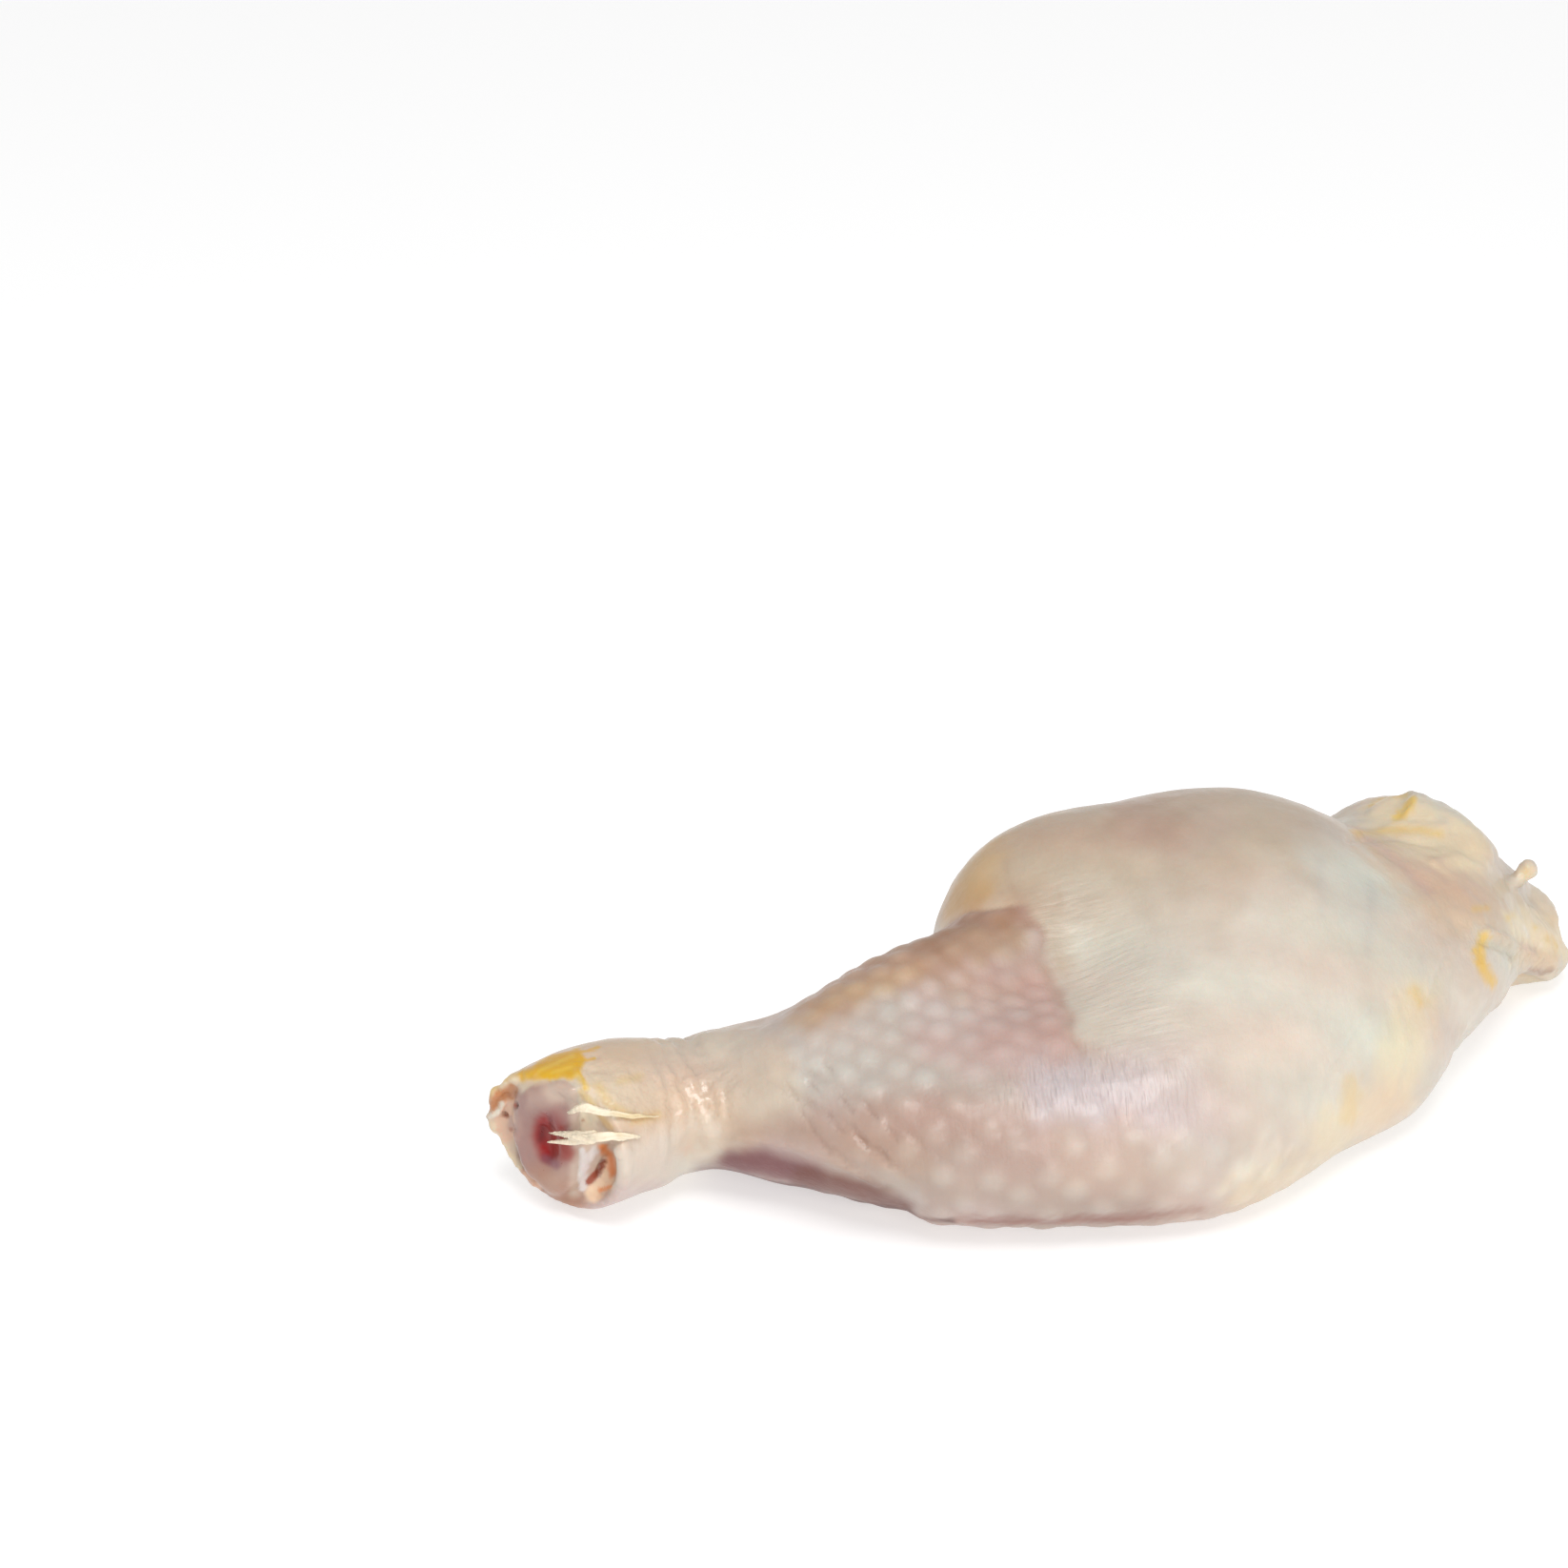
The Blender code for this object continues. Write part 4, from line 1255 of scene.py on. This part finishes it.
def fibre_tree():
    """The tree that turns one path into a bundle of thin fibres."""
    inputs = [("Geometry", "NodeSocketGeometry", None)] + FIBRE_INPUTS
    outputs = [("Geometry", "NodeSocketGeometry")]
    tree, given, result = new_tree("fibre bundle", "GeometryNodeTree", inputs, outputs)
    g = given.outputs
    path = add(tree, "GeometryNodeMeshToCurve", {"Mesh": g["Geometry"]}).outputs[0]
    path = add(tree, "GeometryNodeResampleCurve", {"Curve": path, "Count": 24}).outputs[0]
    amount = {"Geometry": path, "Amount": g["Fibres"]}
    copies = add(tree, "GeometryNodeDuplicateElements", amount, domain="SPLINE")
    along = add(tree, "GeometryNodeSplineParameter").outputs["Factor"]
    number = compute(tree, "MULTIPLY", copies.outputs["Duplicate Index"], 7.3)
    seed = compute(tree, "ADD", number, g["Seed"])
    spot = add(tree, "ShaderNodeCombineXYZ", {0: seed, 1: product(tree, along, 2.2), 2: seed}).outputs[0]
    swing = add(tree, "ShaderNodeTexNoise", {"Vector": spot, "Scale": 1.0, "Detail": 1.0}).outputs["Color"]
    middle = {0: swing, 1: (0.5, 0.5, 0.5)}
    swing = add(tree, "ShaderNodeVectorMath", middle, operation="SUBTRACT").outputs[0]
    reach = product(tree, g["Stray"], 4.0)
    offset = add(tree, "ShaderNodeVectorMath", {0: swing, "Scale": reach}, operation="SCALE").outputs[0]
    strayed = {"Geometry": copies.outputs[0], "Offset": offset}
    moved = add(tree, "GeometryNodeSetPosition", strayed).outputs[0]
    swell = compute(tree, "ADD", product(tree, along, 0.86), 0.1)
    belly = compute(tree, "SINE", product(tree, swell, math.pi))
    circle = {"Resolution": 8, "Radius": g["Thickness"]}
    ring = add(tree, "GeometryNodeCurvePrimitiveCircle", circle).outputs[0]
    sections = {"Curve": moved, "Profile Curve": ring, "Scale": belly, "Fill Caps": True}
    tubes = add(tree, "GeometryNodeCurveToMesh", sections).outputs[0]
    return finish_tree(tree, tubes, g["Material"], result)


fibre_bundle = fibre_tree()
print("the fibre tree has", len(fibre_bundle.nodes), "nodes")

# %% [markdown]
# The grooves along a tendon need to know, at each point, how far along the path it is and on which side
# of it. Both are found from the nearest stretch of the path, and a wave round the path then makes the
# grooves.

# %% Grooves along a path
GROOVE_DEPTH = 0.14
GROOVES = 9
SLIMMER = 0.32


def groove_along(obj, path):
    """Slims the surface towards the path and cuts shallow grooves along it."""
    points = points_of(obj)
    places = [np.array(p, float) for p in path]
    best = np.full(len(points), np.inf)
    turned = np.zeros(len(points))
    outwards = np.zeros(points.shape)
    for a, b in zip(places, places[1:]):
        way = (b - a) / np.linalg.norm(b - a)
        side = np.cross((0, 0, 1), way)
        side /= np.linalg.norm(side)
        along = np.clip((points - a) @ way, 0, np.linalg.norm(b - a))
        off = points - a - along[:, None] * way
        distance = np.linalg.norm(off, axis=1)
        angle = np.arctan2(off @ np.cross(way, side), off @ side)
        closer = distance < best
        turned[closer] = angle[closer]
        outwards[closer] = off[closer]
        best = np.minimum(best, distance)
    slim = SLIMMER * ramp(points[:, 0], 0, 3)
    depth = GROOVE_DEPTH * (np.cos(GROOVES * turned + 1.2 * wobble(points, 3, seed=41)) - 0.4)
    set_points(obj, points - slim[:, None] * outwards + depth[:, None] * directions(obj))


# %% Building the tendons
TENDON_PALE = colour(248, 232, 206)
TENDON_STROKES = [
    (colour(232, 208, 158), 0.8, 2.0, 4.0, [(650, 1178), (680, 1172)]),
    (colour(226, 196, 170), 0.6, 0.8, 1.4, [(582, 1188), (579, 1196)]),
    (colour(244, 238, 222), 0.6, 0.6, 1.2, [(604, 1162), (630, 1166)]),
]


def tendon(node, path, seed):
    """A grooved tendon with loose fibres round it."""
    core = smooth_copy([node], node + "_core", TENDON_FACE, 2)
    groove_along(core, path)
    loose = new_object(node + "_fibres", bpy.data.meshes.new(node + "_path"))
    inner = [at(*p) for p in path[1:-1]]
    loose.data.from_pydata(inner, [(i, i + 1) for i in range(len(inner) - 1)], [])
    modifier = loose.modifiers.new("fibres", "NODES")
    modifier.node_group = fibre_bundle
    set_inputs(modifier, seed=seed, material=FINISHES["tendon"])
    apply_modifiers(loose)
    piece = join(node + "_fibrous", [core.data, loose.data])
    for used in (core, loose):
        bpy.data.objects.remove(used)
    points = points_of(piece)
    keep_tint(piece, lay(points, np.tile(TENDON_PALE, (len(points), 1)), TENDON_STROKES))
    return piece


tendons = {node: tendon(node, path, seed) for seed, (node, path) in enumerate(TENDON_PATHS.items(), 3)}
for node, piece in tendons.items():
    print(piece.name, "has", len(piece.data.polygons), "faces")

# %% [markdown]
# ## Finishes
#
# All three materials are wet flesh, and differ in how finely their surface is broken up. What they share
# is made once, as two shader groups: `patches`, soft uneven patches of a given size, and `furrows`, long
# thin wrinkles of a given spacing and length that run one way. Each material places the groups with its
# own values. The strokes' colours come in through the `tint` attribute, and the patches vary them a
# little, as living tissue does.

# %% Shader groups
FINE_DETAIL = 2.0


def patches_group():
    """Soft patches from -1 to 1."""
    inputs = [("Vector", "NodeSocketVector", None), ("Size", "NodeSocketFloat", 0.004)]
    tree, given, result = new_tree("patches", "ShaderNodeTree", inputs, [("Pattern", "NodeSocketFloat")])
    pattern = noise(tree, given.outputs["Vector"], given.outputs["Size"], FINE_DETAIL)
    tree.links.new(pattern, result.inputs[0])
    return tree


def furrows_group():
    """Long thin wrinkles from -1 to 1, lying across the X axis of the turned coordinates."""
    inputs = [
        ("Vector", "NodeSocketVector", None), ("Turn", "NodeSocketFloat", 0.0),
        ("Spacing", "NodeSocketFloat", 0.0015), ("Length", "NodeSocketFloat", 0.007),
        ("Upright", "NodeSocketFloat", 0.007),
    ]
    tree, given, result = new_tree("furrows", "ShaderNodeTree", inputs, [("Pattern", "NodeSocketFloat")])
    g = given.outputs
    by = {"Vector": g["Vector"], "Angle": g["Turn"]}
    turned = add(tree, "ShaderNodeVectorRotate", by, rotation_type="Z_AXIS").outputs[0]
    size = add(tree, "ShaderNodeCombineXYZ", {0: g["Spacing"], 1: g["Length"], 2: g["Upright"]}).outputs[0]
    stretched = add(tree, "ShaderNodeVectorMath", {0: turned, 1: size}, operation="DIVIDE").outputs[0]
    tree.links.new(noise(tree, stretched, 1.0, FINE_DETAIL), result.inputs[0])
    return tree


patches = patches_group()
furrows = furrows_group()


def place(tree, group, vector, **values):
    """Puts a shader group into a material with its values and gives its output."""
    node = add(tree, "ShaderNodeGroup", node_tree=group)
    tree.links.new(vector, node.inputs["Vector"])
    for name, value in values.items():
        node.inputs[name.capitalize()].default_value = value
    return node.outputs[0]


print("shader groups:", patches.name, furrows.name)

# %% [markdown]
# The skin is thin and lets light in, so its shader has a little subsurface scattering, redder deep down.
# Over it lies a film of water, the coat, which gives the small sharp glints. Where the skin is stretched
# over the calf it has fine wrinkles across the leg, and over the thigh fine streaks along it. Both are
# too fine for the mesh, so they are bump, and masks painted with the brush say where they are. Another
# mask says how wet each place is.

# %% The masks for the finest wrinkles and the wetness
LEG_YAW = math.radians(18)
CRINKLED_ALL_OVER = 0.12
STREAKED_ALL_OVER = 0.10
WET_ALL_OVER = 0.7
FEATHERS_DULLER = 0.45
TENDON_WET = 0.6
CRINKLED = [(1.0, 7, 8, [(1085, 1140), (1150, 1130), (1215, 1150)]), (0.3, 20, 20, [(70, 0, 8)])]
STREAKED = [(1.0, 10, 12, [(1120, 960), (1160, 1010), (1190, 1070)]), (0.4, 12, 12, [(1460, 900)])]
WET_OR_DULL = [
    (1.3, 6, 5, [(665, 1140), (728, 1148)]),
    (-0.7, 5, 3, UNDER_NECK),
    (-0.5, 3, 3, [(610, 1138), (630, 1158)]),
    (-0.4, 2, 4, [(1068, 945), (1090, 975), (1108, 1005)]),
]
SHINY_CALF = [(0.3, 6, 9, [(1100, 1140), (1225, 1150)])]
DULL_MARROW = [(-0.9, 4, 3, [(568, 1184), (576, 1206)])]

skin_points = points_of(skin)
keep(skin, "crinkled", CRINKLED_ALL_OVER + covered(skin_points, CRINKLED))
keep(skin, "streaked", STREAKED_ALL_OVER + covered(skin_points, STREAKED))
wet = WET_ALL_OVER - FEATHERS_DULLER * kept(skin, "feathered") + covered(skin_points, WET_OR_DULL)
keep(skin, "wet", np.maximum(wet, 0) + covered(skin_points, SHINY_CALF))
keep(bone, "wet", 1 + covered(bone_points, DULL_MARROW))
for piece in tendons.values():
    keep(piece, "wet", np.full(len(piece.data.vertices), TENDON_WET))
print("the wettest skin has", round(float(kept(skin, "wet").max()), 2), "of the film of water")


# %% Wet flesh
LIGHT_LET_IN = {"Subsurface Radius": (1.0, 0.35, 0.2), "Subsurface Scale": 0.003}
WATER_FILM = {"Coat Roughness": 0.16, "IOR": 1.38}


def shader(material):
    """The material's main shader."""
    return material.node_tree.nodes["Principled BSDF"]


def painted(tree, name):
    """The node that reads a colour or a number stored on the mesh."""
    return add(tree, "ShaderNodeAttribute", attribute_name=name)


def wet_material(name, roughness, grain_size, grain_height, blotch_size, blotch, subsurface, coat):
    """Wet flesh, tinted by the strokes. Returns it with its coordinates and the height of its grain."""
    made = FINISHES[name]
    made.use_nodes = True
    tree = made.node_tree
    vector = add(tree, "ShaderNodeTexCoord").outputs["Object"]
    blotches = place(tree, patches, vector, size=blotch_size)
    shade = compute(tree, "ADD", 1.0, product(tree, blotches, blotch))
    toned = {0: painted(tree, "tint").outputs["Color"], "Scale": shade}
    uneven = product(tree, place(tree, patches, vector, size=blotch_size * 0.7), 0.07)
    fed = {
        "Base Color": add(tree, "ShaderNodeVectorMath", toned, operation="SCALE").outputs[0],
        "Roughness": compute(tree, "ADD", roughness, uneven),
        "Coat Weight": product(tree, painted(tree, "wet").outputs["Fac"], coat),
    }
    for socket, value in fed.items():
        tree.links.new(value, shader(made).inputs[socket])
    set_sockets(shader(made), {"Subsurface Weight": subsurface, **LIGHT_LET_IN, **WATER_FILM})
    return made, vector, product(tree, place(tree, patches, vector, size=grain_size), grain_height)


def finish_bump(material, height):
    """Feeds a height in metres to the shader as bump."""
    bump = add(material.node_tree, "ShaderNodeBump", {"Strength": 1.0, "Distance": 1.0, "Height": height})
    material.node_tree.links.new(bump.outputs[0], shader(material).inputs["Normal"])


def masked(tree, name, pattern, height):
    """A pattern's height where the mask of that name is."""
    return product(tree, pattern, painted(tree, name).outputs["Fac"], height)


# %% The three materials
def skin_material():
    """Thin wet skin with crinkles over the calf, streaks over the thigh and lumps on the shank."""
    made, vector, height = wet_material(
        "raw skin", roughness=0.40, grain_size=0.0011, grain_height=0.00003,
        blotch_size=0.003, blotch=0.035, subsurface=0.22, coat=0.35,
    )
    tree = made.node_tree
    crinkles = place(tree, furrows, vector, turn=LEG_YAW, spacing=0.0015, length=0.006)
    streaks = place(tree, furrows, vector, turn=LEG_YAW + math.pi / 2, spacing=0.0012, length=0.008)
    lumps = place(tree, patches, vector, size=0.0026)
    for mask, pattern, depth in (
        ("crinkled", crinkles, 0.00035), ("lumpy", lumps, 0.00024), ("streaked", streaks, 0.00009),
    ):
        height = compute(tree, "ADD", height, masked(tree, mask, pattern, depth))
    finish_bump(made, height)
    return made


def cartilage_material():
    """Smooth wet cartilage."""
    made, _, height = wet_material(
        "cartilage", roughness=0.32, grain_size=0.0009, grain_height=0.00002,
        blotch_size=0.0016, blotch=0.03, subsurface=0.14, coat=0.4,
    )
    finish_bump(made, height)
    return made


def tendon_material():
    """Pale tendon with fine strands along it."""
    made, vector, height = wet_material(
        "tendon", roughness=0.42, grain_size=0.0006, grain_height=0.00003,
        blotch_size=0.0014, blotch=0.05, subsurface=0.04, coat=0.2,
    )
    tree = made.node_tree
    strands = place(tree, furrows, vector, turn=math.pi / 2, spacing=0.0005, length=0.006, upright=0.0005)
    finish_bump(made, compute(tree, "ADD", height, product(tree, strands, 0.0001)))
    return made


# %% Dressing the pieces
def dress(piece, finish):
    """Gives the piece that material alone."""
    piece.data.materials.clear()
    piece.data.materials.append(finish)


dress(skin, skin_material())
dress(bone, cartilage_material())
fibrous = tendon_material()
for piece in tendons.values():
    dress(piece, fibrous)
print("materials:", sorted({m.name for m in bpy.data.materials}))

# %% [markdown]
# ## Into the frame
#
# Each piece rides with the leg and stands for the solid that it was made from, which is hidden.

# %% Pieces, nodes and slots
PIECES = [(skin, "leg", "skin"), (bone, "bone", "cartilage")]
PIECES += [(piece, node, "tendon") for node, piece in tendons.items()]
for piece, node, slot in PIECES:
    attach(piece, "root")
    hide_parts(node)
    print(piece.name, "stands for", node)
